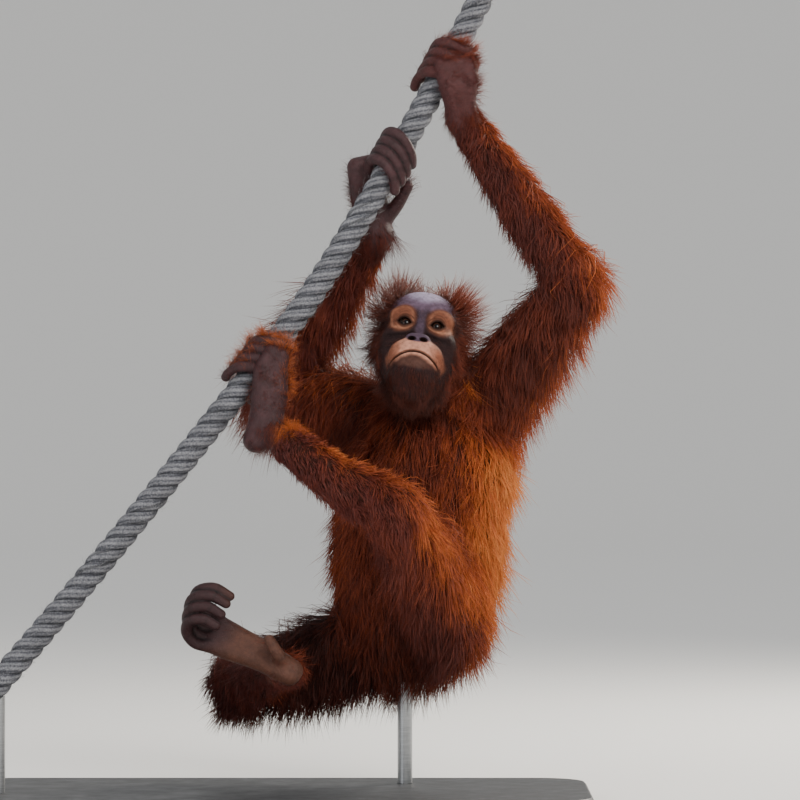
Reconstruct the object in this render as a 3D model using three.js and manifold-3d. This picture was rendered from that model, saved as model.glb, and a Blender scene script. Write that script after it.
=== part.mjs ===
// A young orangutan hanging from a slanting rope by both hands and one foot, a life-size museum model.
// The rope is a short cut length, held with the animal on a flat stand with two short rods.
// Millimetres, +Z up, the stand's underside at Z = 0. The animal faces -Y and its left is +X.
import * as THREE from "three";
import { mergeVertices } from "three/addons/utils/BufferGeometryUtils.js";
import Module from "manifold-3d";

const wasm = await Module();
wasm.setup();

// Driving dimensions
const GAP = 0.3;
const ROPE_RADIUS = 16;
const EYE_RADIUS = 10;
const EYE_SPACING = 36.5;
const LID = 1.9;
const HEAD_PITCH = 25;
const HEAD_YAW = -2.5;
const HEAD_ROLL = 8;
const FINGER_RADIUS = 7.3;
const THUMB_RADIUS = 6.6;
const TOE_RADIUS = 7;
const FINGER_PITCH = 12.6;
const TOE_PITCH = 12.6;
const CORE_LONG = 14;
const CORE_SHORT = 3;
const BASE_LENGTH = 760;
const BASE_WIDTH = 340;
const BASE_THICK = 18;
const ROD_RADIUS = 9;
const SEED = 7;

const at = (x, y, z) => new THREE.Vector3(x, y, z);
const cosd = (degrees) => Math.cos((degrees * Math.PI) / 180);
const sind = (degrees) => Math.sin((degrees * Math.PI) / 180);
const partWay = (a, b, share) => a.clone().lerp(b, share);
const DOWN = at(0, 0, -1);
const TOWARD_VIEWER = at(0, -1, 0);

// The skeleton: each joint's place with the animal hanging
const JOINT = {
  rump: at(158, 86, 200),
  pelvis: at(168, 80, 232),
  belly: at(172, 68, 286),
  waist: at(178, 62, 346),
  chest: at(192, 66, 406),
  collar: at(198, 70, 452),
  neckBase: at(197, 64, 484),
  neckTop: at(191, 56, 508),
  head: at(176.4, 9.6, 554.4),
  shoulderLeft: at(258, 60, 486),
  elbowLeft: at(361, -24, 628),
  wristLeft: at(226, 22, 826),
  shoulderRight: at(136, 82, 468),
  elbowRight: at(-1, 180, 510),
  wristRight: at(124, 50, 684),
  hipLeft: at(208, 26, 232),
  kneeLeft: at(148, -102, 356),
  ankleLeft: at(0, -42, 446),
  hipRight: at(140, 90, 200),
  kneeRight: at(-47, 114, 142),
  ankleRight: at(14, -44, 162),
};

// The rope's line, from its low end at the stand to its cut top end
const ROPE_LINE = new THREE.CatmullRomCurve3([
  at(-346.8, -57.6, 123.6),
  at(-225.6, -36, 266.4),
  at(-76.8, -16.8, 451.2),
  at(40.8, 2.4, 604.8),
  at(105.6, 15.6, 706.8),
  at(177.6, 31.2, 832.8),
  at(247.2, 45.6, 966),
  at(260.4, 49.2, 992.4),
]);
const HAND_LEFT_ON_ROPE = 0.893;
const HAND_RIGHT_ON_ROPE = 0.755;
const FOOT_LEFT_ON_ROPE = 0.5;

// Seeded numbers from 0 to 1
let seed = SEED;
function random() {
  seed = (seed * 1664525 + 1013904223) % 4294967296;
  return seed / 4294967296;
}
const between = (low, high) => low + (high - low) * random();

// Solids: three.js geometry in, closed manifold out, and back again
function solidOf(geometry) {
  const bare = geometry.clone();
  for (const name of ["normal", "uv"]) bare.deleteAttribute(name);
  const merged = mergeVertices(bare, 1e-4);
  return new wasm.Manifold(
    new wasm.Mesh({
      numProp: 3,
      vertProperties: new Float32Array(merged.attributes.position.array),
      triVerts: new Uint32Array(merged.index.array),
    }),
  );
}
const fuse = (solids) => wasm.Manifold.union(solids);

// Only the largest closed surface of a solid stays
function largest(solid) {
  const pieces = solid.decompose();
  return pieces.reduce((a, b) => (a.volume() > b.volume() ? a : b));
}

function geometryOf(solid) {
  const mesh = solid.getMesh();
  const points = new Float32Array(mesh.numVert * 3);
  for (let i = 0; i < mesh.numVert; i++)
    points.set(mesh.vertProperties.subarray(i * mesh.numProp, i * mesh.numProp + 3), i * 3);
  const geometry = new THREE.BufferGeometry();
  geometry.setAttribute("position", new THREE.BufferAttribute(points, 3));
  geometry.setIndex(new THREE.BufferAttribute(new Uint32Array(mesh.triVerts), 1));
  geometry.computeVertexNormals();
  return geometry;
}

// A closed surface over rings of points, with one pole before the first ring and one after the last.
// Each four-sided face is split along its shorter diagonal.
function closeRings(rings, firstPole, lastPole) {
  const sides = rings[0].length;
  const points = [firstPole, ...rings.flat(), lastPole];
  const faces = [];
  const last = points.length - 1;
  const end = 1 + (rings.length - 1) * sides;
  for (let j = 0; j < sides; j++) {
    const k = (j + 1) % sides;
    faces.push(0, 1 + k, 1 + j);
    for (let i = 0; i + 1 < rings.length; i++) {
      const a = 1 + i * sides;
      const b = a + sides;
      const diagonals = [points[a + j].distanceTo(points[b + k]), points[a + k].distanceTo(points[b + j])];
      if (diagonals[0] < diagonals[1]) faces.push(a + j, a + k, b + k, a + j, b + k, b + j);
      else faces.push(a + j, a + k, b + j, a + k, b + k, b + j);
    }
    faces.push(last, end + j, end + k);
  }
  const geometry = new THREE.BufferGeometry();
  geometry.setAttribute("position", new THREE.Float32BufferAttribute(points.flatMap((p) => p.toArray()), 3));
  geometry.setIndex(faces);
  return geometry;
}

// A limb, digit, lock or trunk: an oval section carried along a smooth line through its stations.
// A station has a point, a half width w and a half thickness t; across is the way that the width faces.
class Loft {
  constructor(stations, { across = at(1, 0, 0), sides = 11, rings = 6, dome = [60, 30] } = {}) {
    Object.assign(this, { stations, across, sides, rings, dome });
    this.line = new THREE.CatmullRomCurve3(stations.map((s) => s.p), false, "centripetal");
  }

  section(share, extra = 0) {
    const spans = this.stations.length - 1;
    const i = Math.min(spans - 1, Math.floor(share * spans));
    const f = share * spans - i;
    const smooth = f * f * (3 - 2 * f);
    const [a, b] = [this.stations[i], this.stations[i + 1]];
    const along = this.line.getTangent(share);
    const side = this.across.clone().addScaledVector(along, -this.across.dot(along)).normalize();
    return {
      p: this.line.getPoint(share),
      along,
      side,
      front: along.clone().cross(side),
      w: a.w + (b.w - a.w) * smooth + extra,
      t: a.t + (b.t - a.t) * smooth + extra,
    };
  }

  // The surface's point at a share of the length and an angle round it, and the way out of it there
  surface(share, angle) {
    const s = this.section(share);
    const point = s.p
      .clone()
      .addScaledVector(s.side, s.w * cosd(angle))
      .addScaledVector(s.front, s.t * sind(angle));
    const normal = at(0, 0, 0)
      .addScaledVector(s.side, cosd(angle) / s.w)
      .addScaledVector(s.front, sind(angle) / s.t)
      .normalize();
    return { point, normal, along: s.along };
  }

  ring(s, shrink, shift) {
    return Array.from({ length: this.sides }, (_, j) => {
      const angle = (360 * j) / this.sides;
      return s.p
        .clone()
        .addScaledVector(s.along, shift)
        .addScaledVector(s.side, shrink * s.w * cosd(angle))
        .addScaledVector(s.front, shrink * s.t * sind(angle));
    });
  }

  // The ends are domes of shrinking rings, or short points where there are none
  geometry(extra = 0) {
    const first = this.section(0, extra);
    const last = this.section(1, extra);
    const reach = (s) => (this.dome.length ? Math.min(s.w, s.t) : 0.6 * s.w);
    const rings = this.dome.map((turn) => this.ring(first, cosd(turn), -reach(first) * sind(turn)));
    for (let i = 0; i <= this.rings; i++) rings.push(this.ring(this.section(i / this.rings, extra), 1, 0));
    for (const turn of [...this.dome].reverse())
      rings.push(this.ring(last, cosd(turn), reach(last) * sind(turn)));
    return closeRings(
      rings,
      first.p.clone().addScaledVector(first.along, -reach(first)),
      last.p.clone().addScaledVector(last.along, reach(last)),
    );
  }

  solid(extra = 0) {
    return solidOf(this.geometry(extra));
  }
}
const station = (p, w, t = w) => ({ p, w, t });

// Trunk, neck and limbs: skin radii, to which the coat's core is added
const long = (p, w, t = w) => station(p, w + CORE_LONG, t + CORE_LONG);
const short = (p, w, t = w) => station(p, w + CORE_SHORT, t + CORE_SHORT);
const LOFTS = {
  torso: new Loft(
    [
      long(JOINT.rump, 54, 46),
      long(JOINT.pelvis, 82, 64),
      long(JOINT.belly, 98, 78),
      long(JOINT.waist, 98, 76),
      long(JOINT.chest, 92, 66),
      long(JOINT.collar, 76, 50),
      long(JOINT.neckBase, 44, 36),
    ],
    { sides: 18, rings: 11 },
  ),
  neck: new Loft([long(JOINT.collar, 38), long(JOINT.neckTop, 35)], { sides: 14, rings: 2 }),
  upper_arm_left: new Loft([
    long(JOINT.shoulderLeft, 36),
    long(partWay(JOINT.shoulderLeft, JOINT.elbowLeft, 0.5), 30),
    long(JOINT.elbowLeft, 24),
  ]),
  upper_arm_right: new Loft([
    long(JOINT.shoulderRight, 36),
    long(partWay(JOINT.shoulderRight, JOINT.elbowRight, 0.5), 30),
    long(JOINT.elbowRight, 24),
  ]),
  forearm_left: new Loft(
    [
      long(JOINT.elbowLeft, 24),
      long(partWay(JOINT.elbowLeft, JOINT.wristLeft, 0.35), 25, 22),
      short(partWay(JOINT.elbowLeft, JOINT.wristLeft, 0.75), 20, 18),
      short(JOINT.wristLeft, 17, 14),
    ],
    { rings: 9 },
  ),
  forearm_right: new Loft(
    [
      long(JOINT.elbowRight, 24),
      long(partWay(JOINT.elbowRight, JOINT.wristRight, 0.35), 25, 22),
      short(partWay(JOINT.elbowRight, JOINT.wristRight, 0.75), 20, 17),
      short(JOINT.wristRight, 17, 14),
    ],
    { rings: 9 },
  ),
  thigh_left: new Loft([
    long(JOINT.hipLeft, 46),
    long(partWay(JOINT.hipLeft, JOINT.kneeLeft, 0.5), 36),
    short(JOINT.kneeLeft, 25),
  ]),
  thigh_right: new Loft([
    long(JOINT.hipRight, 46),
    long(partWay(JOINT.hipRight, JOINT.kneeRight, 0.5), 37),
    long(JOINT.kneeRight, 25),
  ]),
  shin_left: new Loft([
    short(JOINT.kneeLeft, 25),
    short(partWay(JOINT.kneeLeft, JOINT.ankleLeft, 0.4).add(at(-4, -6, -6)), 23),
    short(JOINT.ankleLeft, 16),
  ]),
  shin_right: new Loft([
    long(JOINT.kneeRight, 25),
    short(partWay(JOINT.kneeRight, JOINT.ankleRight, 0.4), 23),
    short(JOINT.ankleRight, 16),
  ]),
};

// The head in its own frame: x to the animal's left, the face toward -y, z up.
// Each form is a smooth ellipsoid; a negative blend radius cuts the form away.
const HEAD_FORMS = [
  { c: at(0, 16, 12), r: at(54, 62, 55), blend: 0 },
  { c: at(5, 50, -32), r: at(41, 46, 40), blend: 14 },
  { c: at(0, -20, 22), r: at(42, 34, 32), blend: 14 },
  { c: at(0, -14, -50), r: at(38, 42, 42), blend: 18 },
  { c: at(30, -24, -28), r: at(17, 26, 30), blend: 12, pair: true },
  { c: at(0, -50, -50), r: at(33, 33, 27), blend: 12 },
  { c: at(0, -64, -46), r: at(30, 20, 15), blend: 8 },
  { c: at(0, -54, -72), r: at(25, 24, 14), blend: 8 },
  { c: at(0, -44, -86), r: at(21, 20, 14), blend: 10 },
  { c: at(20, -45, 10), r: at(20, 11, 10), blend: 12, pair: true },
  { c: at(21, -42, -17), r: at(18, 15, 12), blend: 14, pair: true },
  { c: at(23, -74, -4), r: at(13, 9, 10), blend: -14, pair: true },
  { c: at(0, -53, -12), r: at(6, 8, 20), blend: 8 },
  { c: at(0, -75, -31), r: at(11, 6, 5), blend: 8 },
];
const EYE_CENTRE = at(EYE_SPACING / 2, -48, -3);

// Rough distance to an ellipsoid, below 0 inside it
function ellipsoidDistance(p, c, r) {
  const q = p.clone().sub(c);
  const scaled = q.clone().divide(r).length();
  const steep = q.clone().divide(r.clone().multiply(r)).length();
  return steep === 0 ? -Math.min(r.x, r.y, r.z) : (scaled * (scaled - 1)) / steep;
}
function smoothMin(a, b, k) {
  const h = Math.max(k - Math.abs(a - b), 0) / k;
  return Math.min(a, b) - (h * h * k) / 4;
}
function headDistance(p) {
  const q = at(Math.abs(p.x), p.y, p.z);
  let d = Infinity;
  for (const form of HEAD_FORMS) {
    const part = ellipsoidDistance(form.pair ? q : p, form.c, form.r);
    if (form.blend === 0) d = part;
    else if (form.blend > 0) d = smoothMin(d, part, form.blend);
    else d = -smoothMin(-d, part, -form.blend);
  }
  const lid = q.distanceTo(EYE_CENTRE) - EYE_RADIUS - LID;
  return smoothMin(d, lid, 9);
}

// The head's surface where a ray from far out along a direction first meets it
const HEAD_CORE = at(0, -14, -20);
const FAR_OUT = 170;
function headSurface(direction, extra = 0, from = HEAD_CORE) {
  const p = from.clone().addScaledVector(direction, FAR_OUT);
  for (let i = 0; i < 80; i++) {
    const d = headDistance(p) - extra;
    if (Math.abs(d) < 0.005) break;
    p.addScaledVector(direction, -0.8 * d);
  }
  return p;
}

// Columns close together round the face and wide behind; rows close together from the brow to the chin
const FACE_COLUMNS = [];
for (let turn = -40; turn < 41; turn += 5) FACE_COLUMNS.push(turn);
for (const turn of [47, 57, 71, 90, 112, 140]) FACE_COLUMNS.push(turn, -turn);
FACE_COLUMNS.push(180);
FACE_COLUMNS.sort((a, b) => a - b);
const HEAD_ROWS = [
  -70, -55, -45, -38, -33, -29, -25, -21, -17.5, -14, -11, -8, -5, -2,
  1, 4, 7, 10, 13.5, 17, 22, 30, 41, 55, 71,
];
function headSolid(extra = 0) {
  const rings = HEAD_ROWS.map((row) =>
    FACE_COLUMNS.map((turn) =>
      headSurface(at(cosd(row) * sind(turn), -cosd(row) * cosd(turn), sind(row)), extra),
    ),
  );
  return solidOf(closeRings(rings, headSurface(at(0, 0, -1), extra), headSurface(at(0, 0, 1), extra)));
}
const rad = THREE.MathUtils.degToRad;
const HEAD_PLACE = new THREE.Matrix4()
  .makeRotationY(rad(HEAD_ROLL))
  .multiply(new THREE.Matrix4().makeRotationZ(rad(HEAD_YAW)))
  .multiply(new THREE.Matrix4().makeRotationX(rad(-HEAD_PITCH)))
  .setPosition(JOINT.head);
const onHead = (solid) => solid.transform(HEAD_PLACE.elements);

// A ball stretched to three radii and set at a place
function ball(centre, radii, across = 14, down = 10) {
  const geometry = new THREE.SphereGeometry(1, across, down);
  geometry.scale(radii.x, radii.y, radii.z);
  geometry.translate(centre.x, centre.y, centre.z);
  return solidOf(geometry);
}
const mirrored = (p, side) => at(side * p.x, p.y, p.z);

// The eye's opening: a pointed oval between the lids, cut straight back to the eye's middle
function lidOpening(side) {
  const [w, h] = [8.2, 5];
  const outline = new THREE.Shape();
  outline.moveTo(-w, -0.8);
  outline.bezierCurveTo(-0.5 * w, 1.25 * h, 0.4 * w, 1.35 * h, w, 0.6);
  outline.bezierCurveTo(0.5 * w, -1.2 * h, -0.5 * w, -1.3 * h, -w, -0.8);
  const cut = new THREE.ExtrudeGeometry(outline, { depth: 40, bevelEnabled: false, curveSegments: 5 });
  cut.rotateX(Math.PI / 2);
  cut.rotateZ(rad(10));
  cut.translate(EYE_CENTRE.x, EYE_CENTRE.y - 2, EYE_CENTRE.z);
  if (side > 0) return solidOf(cut);
  return solidOf(cut).mirror([1, 0, 0]);
}

// The line between the lips, rising at the middle
const LIP_MIDDLE = -53;
const LIP_DROP = 11;
const MOUTH_HALF = 30;
function mouthGroove() {
  const stations = [];
  for (let i = -4; i <= 4; i++) {
    const x = (MOUTH_HALF * i) / 4;
    const z = LIP_MIDDLE - LIP_DROP * (x / MOUTH_HALF) ** 2;
    const direction = at(x, -62 + 14 * (x / MOUTH_HALF) ** 2, z).sub(HEAD_CORE).normalize();
    const depth = Math.abs(i) === 4 ? 1.5 : 4;
    stations.push(station(headSurface(direction), depth, Math.abs(i) === 4 ? 0.7 : 1.5));
  }
  return new Loft(stations, { across: at(0, -1, 0), sides: 4, rings: 12, dome: [] }).solid();
}

function buildHead() {
  let solid = headSolid();
  for (const side of [-1, 1]) {
    const eye = mirrored(EYE_CENTRE, side);
    const clear = EYE_RADIUS + GAP;
    solid = solid.subtract(ball(eye, at(clear, clear, clear), 14, 10));
    solid = solid.subtract(lidOpening(side));
    const nostril = headSurface(at(side * 7, -76, -33).sub(HEAD_CORE).normalize());
    solid = solid.subtract(ball(nostril, at(3.8, 4.5, 2.5), 8, 6));
  }
  return onHead(solid.subtract(mouthGroove()));
}
const headShell = onHead(headSolid(GAP));

// A small round ear with a cup, standing out of the coat at the side of the head
function buildEar(side) {
  const place = mirrored(at(51, 18, -8), side);
  const rim = ball(place, at(9, 10, 14), 10, 6);
  const cup = ball(place.clone().add(at(side * 6, -4, 1)), at(6, 6, 9), 8, 5);
  return largest(onHead(rim.subtract(cup)).subtract(headShell));
}

// The rope's own axes at a share of its length: out toward the viewer, and out to the viewer's left
function ropeAt(share) {
  const p = ROPE_LINE.getPointAt(share);
  const along = ROPE_LINE.getTangentAt(share);
  const front = TOWARD_VIEWER.clone().addScaledVector(along, -TOWARD_VIEWER.dot(along)).normalize();
  const left = front.clone().cross(along).normalize();
  if (left.x > 0) left.negate();
  return { p, along, front, left };
}
const ROPE_LENGTH = ROPE_LINE.getLength();
// A point beside the rope: angle 0 toward the viewer, 90 to the viewer's left
function besideRope(share, shift, angle, distance) {
  const r = ropeAt(share + shift / ROPE_LENGTH);
  return r.p
    .clone()
    .addScaledVector(r.front, distance * cosd(angle))
    .addScaledVector(r.left, distance * sind(angle));
}
const ropeSolid = (extra = 0) => {
  const stations = [];
  for (let i = 0; i <= 8; i++) stations.push(station(ROPE_LINE.getPointAt(i / 8), ROPE_RADIUS));
  const loft = new Loft(stations, { sides: 12, rings: 14, dome: [] });
  return loft.solid(extra);
};

// A digit curled round the rope from one angle to another. It starts at a shift along the rope, bows along it
// at the middle and ends further along it; late is how late that end shift comes in.
function curledDigit(share, shift, { from, to, bow = 0, end = 0, late = 2, radius }) {
  const stations = [];
  const steps = 6;
  for (let i = 0; i <= steps; i++) {
    const f = i / steps;
    const r = radius * (1 - 0.22 * f);
    const knuckle = 1 + 0.08 * Math.cos(2 * Math.PI * 2 * f);
    const slide = bow * 4 * f * (1 - f) + end * f ** late;
    const p = besideRope(share, shift + slide, from + (to - from) * f, ROPE_RADIUS + r + 0.8);
    stations.push(station(p, r * knuckle));
  }
  return new Loft(stations, { across: ropeAt(share).along, sides: 6, rings: 5, dome: [45] }).solid();
}

// The upper hand: fingers go over the front of the rope to its left side and bend down along it
function buildHandLeft() {
  const s = HAND_LEFT_ON_ROPE;
  const knuckles = besideRope(s, 0, -22, ROPE_RADIUS + 13);
  const palm = new Loft(
    [
      short(JOINT.wristLeft, 17, 14),
      station(partWay(JOINT.wristLeft, knuckles, 0.55).add(at(0, -8, 0)), 23, 13),
      station(knuckles, 27, 10),
    ],
    { across: at(0.75, 0.1, 0.65), sides: 10, rings: 4 },
  ).solid();
  const solids = [palm];
  for (let i = 0; i < 4; i++) {
    const turn = { from: -24, to: 112 + 6 * i, end: -24, late: 3, radius: FINGER_RADIUS };
    solids.push(curledDigit(s, (i - 1.4) * FINGER_PITCH, turn));
  }
  solids.push(curledDigit(s, -2.6 * FINGER_PITCH, { from: -70, to: -150, end: 6, radius: THUMB_RADIUS }));
  return fuse(solids);
}

// The lower hand: its palm lies behind the rope, the fingers come round its left side over the front, and
// the thumb stands up at the right
function buildHandRight() {
  const s = HAND_RIGHT_ON_ROPE;
  const knuckles = besideRope(s, -8, 125, ROPE_RADIUS + 20);
  const palm = new Loft(
    [
      short(JOINT.wristRight, 17, 14),
      station(partWay(JOINT.wristRight, knuckles, 0.5).add(at(-1, 4, 0)), 23, 13),
      station(knuckles, 24, 11),
    ],
    { across: at(0.68, 0.1, 0.73), sides: 10, rings: 5 },
  ).solid();
  const solids = [palm];
  for (let i = 0; i < 4; i++) {
    const turn = { from: 150, to: -58 - 3 * i, bow: 24, end: 3, radius: FINGER_RADIUS };
    solids.push(curledDigit(s, (i - 1.8) * FINGER_PITCH, turn));
  }
  const thumb = [
    station(JOINT.wristRight.clone().add(at(8, 2, 16)), 9),
    station(JOINT.wristRight.clone().add(at(25, -2, 38)), 8),
    station(JOINT.wristRight.clone().add(at(38, -12, 60)), 6.2),
  ];
  solids.push(new Loft(thumb, { sides: 6, rings: 3, dome: [45] }).solid());
  return fuse(solids);
}

// The foot on the rope: an upright sole in front of it, with the toes going left over it and bending down
function buildFootLeft() {
  const s = FOOT_LEFT_ON_ROPE;
  const onAnkle = (x, y, z) => JOINT.ankleLeft.clone().add(at(x, y, z));
  const sole = new Loft(
    [
      station(onAnkle(-20, 2, -9), 15, 15),
      station(onAnkle(-8, 1, 18), 20, 15),
      station(onAnkle(-3, 3, 45), 22, 14),
      station(onAnkle(-2, 7, 72), 21, 12),
      station(onAnkle(5, 8, 94), 15, 10),
    ],
    { across: ropeAt(s).left, sides: 10, rings: 6 },
  ).solid();
  const solids = [sole];
  for (let i = 0; i < 4; i++) {
    const turn = { from: -38, to: 104 + 6 * i, end: -34, late: 1.4, radius: TOE_RADIUS };
    solids.push(curledDigit(s, (i - 1) * TOE_PITCH, turn));
  }
  solids.push(curledDigit(s, -3.4 * TOE_PITCH, { from: -52, to: -120, end: -6, radius: TOE_RADIUS }));
  return fuse(solids);
}

// The free foot: sole up toward the viewer, toes curled up at the far end and the great toe bent in
function buildFootRight() {
  const heel = JOINT.ankleRight.clone().add(at(8, -18, 0));
  const toeRoot = at(-69, -46, 207);
  const across = at(0.42, 0.3, 0.85);
  const sole = new Loft(
    [
      station(heel, 16, 14),
      station(partWay(heel, toeRoot, 0.4).add(at(0, 2, 2)), 19, 13),
      station(partWay(heel, toeRoot, 0.8).add(at(0, 2, 0)), 23, 12),
      station(toeRoot, 24, 10),
    ],
    { across, sides: 10, rings: 5 },
  ).solid();
  const solids = [sole];
  for (let i = 0; i < 4; i++) {
    const spread = (i - 1.5) * 11.5;
    const root = toeRoot.clone().addScaledVector(across, spread);
    const digit = new Loft(
      [
        station(root, 7.6),
        station(root.clone().add(at(-20, -4, 6)), 7.2),
        station(root.clone().add(at(-31, -12, 22)), 7.2),
        station(root.clone().add(at(-26, -27, 38)), 6.8),
        station(root.clone().add(at(-6, -36, 42)), 6.6),
        station(root.clone().add(at(13, -34, 32)), 5.6),
      ],
      { across, sides: 6, rings: 6, dome: [45] },
    );
    solids.push(digit.solid());
  }
  const greatRoot = partWay(heel, toeRoot, 0.3).add(at(21, -8, -3));
  solids.push(
    new Loft(
      [
        station(greatRoot, 8.5),
        station(greatRoot.clone().add(at(-10, -14, 14)), 8),
        station(greatRoot.clone().add(at(-18, -18, 29)), 6.4),
      ],
      { sides: 6, rings: 3, dome: [45] },
    ).solid(),
  );
  return fuse(solids);
}

// The stand: a flat base with rounded corners and two rods
function buildBase() {
  const [w, d, r] = [BASE_LENGTH / 2, BASE_WIDTH / 2, 60];
  const outline = new THREE.Shape();
  outline.moveTo(-w + r, -d);
  outline.lineTo(w - r, -d);
  outline.absarc(w - r, -d + r, r, -Math.PI / 2, 0);
  outline.lineTo(w, d - r);
  outline.absarc(w - r, d - r, r, 0, Math.PI / 2);
  outline.lineTo(-w + r, d);
  outline.absarc(-w + r, d - r, r, Math.PI / 2, Math.PI);
  outline.lineTo(-w, -d + r);
  outline.absarc(-w + r, -d + r, r, Math.PI, 1.5 * Math.PI);
  const bevel = 3;
  const geometry = new THREE.ExtrudeGeometry(outline, {
    depth: BASE_THICK - 2 * bevel,
    curveSegments: 4,
    bevelThickness: bevel,
    bevelSize: bevel,
    bevelOffset: -bevel,
    bevelSegments: 1,
  });
  geometry.translate(0, 0, bevel);
  return solidOf(geometry).trimByPlane([0, 0, 1], 0);
}
function buildRod(x, y, top) {
  const geometry = new THREE.CylinderGeometry(ROD_RADIUS, ROD_RADIUS, top - BASE_THICK - GAP, 24);
  geometry.rotateX(Math.PI / 2);
  geometry.translate(x, y, (top + BASE_THICK + GAP) / 2);
  return solidOf(geometry);
}

// The plane that halves the bend of a limb at its joint, or cuts it straight across at its end
function bend(near, far, start, joint, end) {
  const normal = joint.clone().sub(start).normalize();
  if (end) normal.add(end.clone().sub(joint).normalize()).normalize();
  return { near, far, at: joint, normal };
}

// The planes where two parts meet
const PLANES = [
  { near: "torso", far: "neck", at: JOINT.neckBase, normal: at(-0.1, -0.3, 0.95).normalize() },
  { near: "neck", far: "head", at: JOINT.neckTop, normal: at(-0.1, -0.5, 0.86).normalize() },
  bend("upper_arm_left", "forearm_left", JOINT.shoulderLeft, JOINT.elbowLeft, JOINT.wristLeft),
  bend("upper_arm_right", "forearm_right", JOINT.shoulderRight, JOINT.elbowRight, JOINT.wristRight),
  bend("thigh_left", "shin_left", JOINT.hipLeft, JOINT.kneeLeft, JOINT.ankleLeft),
  bend("thigh_right", "shin_right", JOINT.hipRight, JOINT.kneeRight, JOINT.ankleRight),
  bend("forearm_left", "hand_left", JOINT.elbowLeft, JOINT.wristLeft),
  bend("forearm_right", "hand_right", JOINT.elbowRight, JOINT.wristRight),
  bend("shin_left", "foot_left", JOINT.kneeLeft, JOINT.ankleLeft),
  { near: "shin_right", far: "foot_right", at: JOINT.ankleRight, normal: at(-0.2, -0.95, 0.2).normalize() },
];
const joined = (a, b) => PLANES.some((p) => [p.near, p.far].includes(a) && [p.near, p.far].includes(b));

// Trims a part at its planes; extra moves the cut outward, for the clearance kept round it
function trimmed(name, solid, extra = 0) {
  for (const plane of PLANES) {
    const n = plane.normal;
    const offset = plane.at.dot(n);
    const inset = GAP / 2 - extra;
    if (plane.far === name) solid = solid.trimByPlane(n.toArray(), offset + inset);
    if (plane.near === name) solid = solid.trimByPlane(n.clone().negate().toArray(), inset - offset);
  }
  return solid;
}

// Every part, in the order in which each keeps clear of those before it
const parts = {};
const shells = {};
function addPart(name, solid, shell = null) {
  for (const [other, clear] of Object.entries(shells))
    if (!joined(name, other)) solid = solid.subtract(clear);
  parts[name] = largest(solid);
  if (shell) shells[name] = shell;
}
addPart("rope", ropeSolid(), ropeSolid(GAP));
addPart("head", trimmed("head", buildHead()), trimmed("head", headShell, GAP));
for (const name of Object.keys(LOFTS)) {
  const loft = LOFTS[name];
  addPart(name, trimmed(name, loft.solid()), trimmed(name, loft.solid(GAP), GAP));
}
const eyeRadii = at(EYE_RADIUS, EYE_RADIUS, EYE_RADIUS);
for (const [name, side] of [["left", 1], ["right", -1]]) {
  parts[`eye_${name}`] = onHead(ball(mirrored(EYE_CENTRE, side), eyeRadii, 14, 10));
  addPart(`ear_${name}`, buildEar(side));
}
addPart("hand_left", trimmed("hand_left", buildHandLeft()));
addPart("hand_right", trimmed("hand_right", buildHandRight()));
addPart("foot_left", trimmed("foot_left", buildFootLeft()));
addPart("foot_right", trimmed("foot_right", buildFootRight()));
parts.stand_base = buildBase();
addPart("stand_rod_body", buildRod(JOINT.rump.x, JOINT.rump.y, JOINT.rump.z));
const ropeFoot = ROPE_LINE.getPointAt(0.03);
addPart("stand_rod_rope", buildRod(ropeFoot.x, ropeFoot.y, ropeFoot.z));

// A lock of the coat: flat, tapered and bent, its root sunk into the part that it grows from
function lockSolid(root, { length, width, lie, hang, lift, rings = 3 }, share, extra = 0) {
  const { point, normal, along } = root;
  const flow = along.clone().multiplyScalar(lie).addScaledVector(DOWN, hang);
  flow.addScaledVector(normal, -flow.dot(normal)).normalize();
  const reach = length * share;
  const rise = normal.clone().multiplyScalar(lift);
  const fall = flow.clone().addScaledVector(DOWN, 0.5 * hang).normalize();
  const p1 = point.clone().addScaledVector(flow, 0.3 * reach).addScaledVector(rise, 0.3 * reach);
  const p2 = p1.clone().addScaledVector(flow, 0.4 * reach).addScaledVector(rise, 0.2 * reach);
  const p3 = p2.clone().addScaledVector(fall, 0.35 * reach).addScaledVector(rise, 0.05 * reach);
  const sunk = point.clone().addScaledVector(normal, -SINK).addScaledVector(flow, -0.05 * reach);
  const flat = (p, w) => station(p, w * width, Math.max(w * width * LOCK_FLATNESS, 1));
  return new Loft([flat(sunk, 0.4), flat(p1, 0.5), flat(p2, 0.36), flat(p3, 0.08)], {
    across: normal.clone().cross(flow),
    sides: 4,
    rings,
    dome: [],
  }).solid(extra);
}
const SINK = 7;
const LOCK_FLATNESS = 0.28;
const LOCK_CLEARANCE = 0.8;

function touches(a, b) {
  const [p, q] = [a.boundingBox(), b.boundingBox()];
  for (let i = 0; i < 3; i++) if (p.min[i] > q.max[i] || q.min[i] > p.max[i]) return false;
  return a.intersect(b).volume() > 0;
}

// Grows locks in staggered rows over a part; one that would touch another part is shortened or left out
function growCoat(name, roots, style) {
  const others = Object.keys(parts).filter((other) => other !== name);
  const grown = [parts[name]];
  for (const root of roots) {
    const own = { ...style, length: style.length * root.gain * between(0.85, 1.15) };
    for (const share of [1, 0.8, 0.62, 0.48]) {
      const clear = lockSolid(root, own, share, LOCK_CLEARANCE);
      if (others.some((other) => touches(clear, parts[other]))) continue;
      grown.push(lockSolid(root, own, share));
      break;
    }
  }
  parts[name] = largest(fuse(grown));
}

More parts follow.
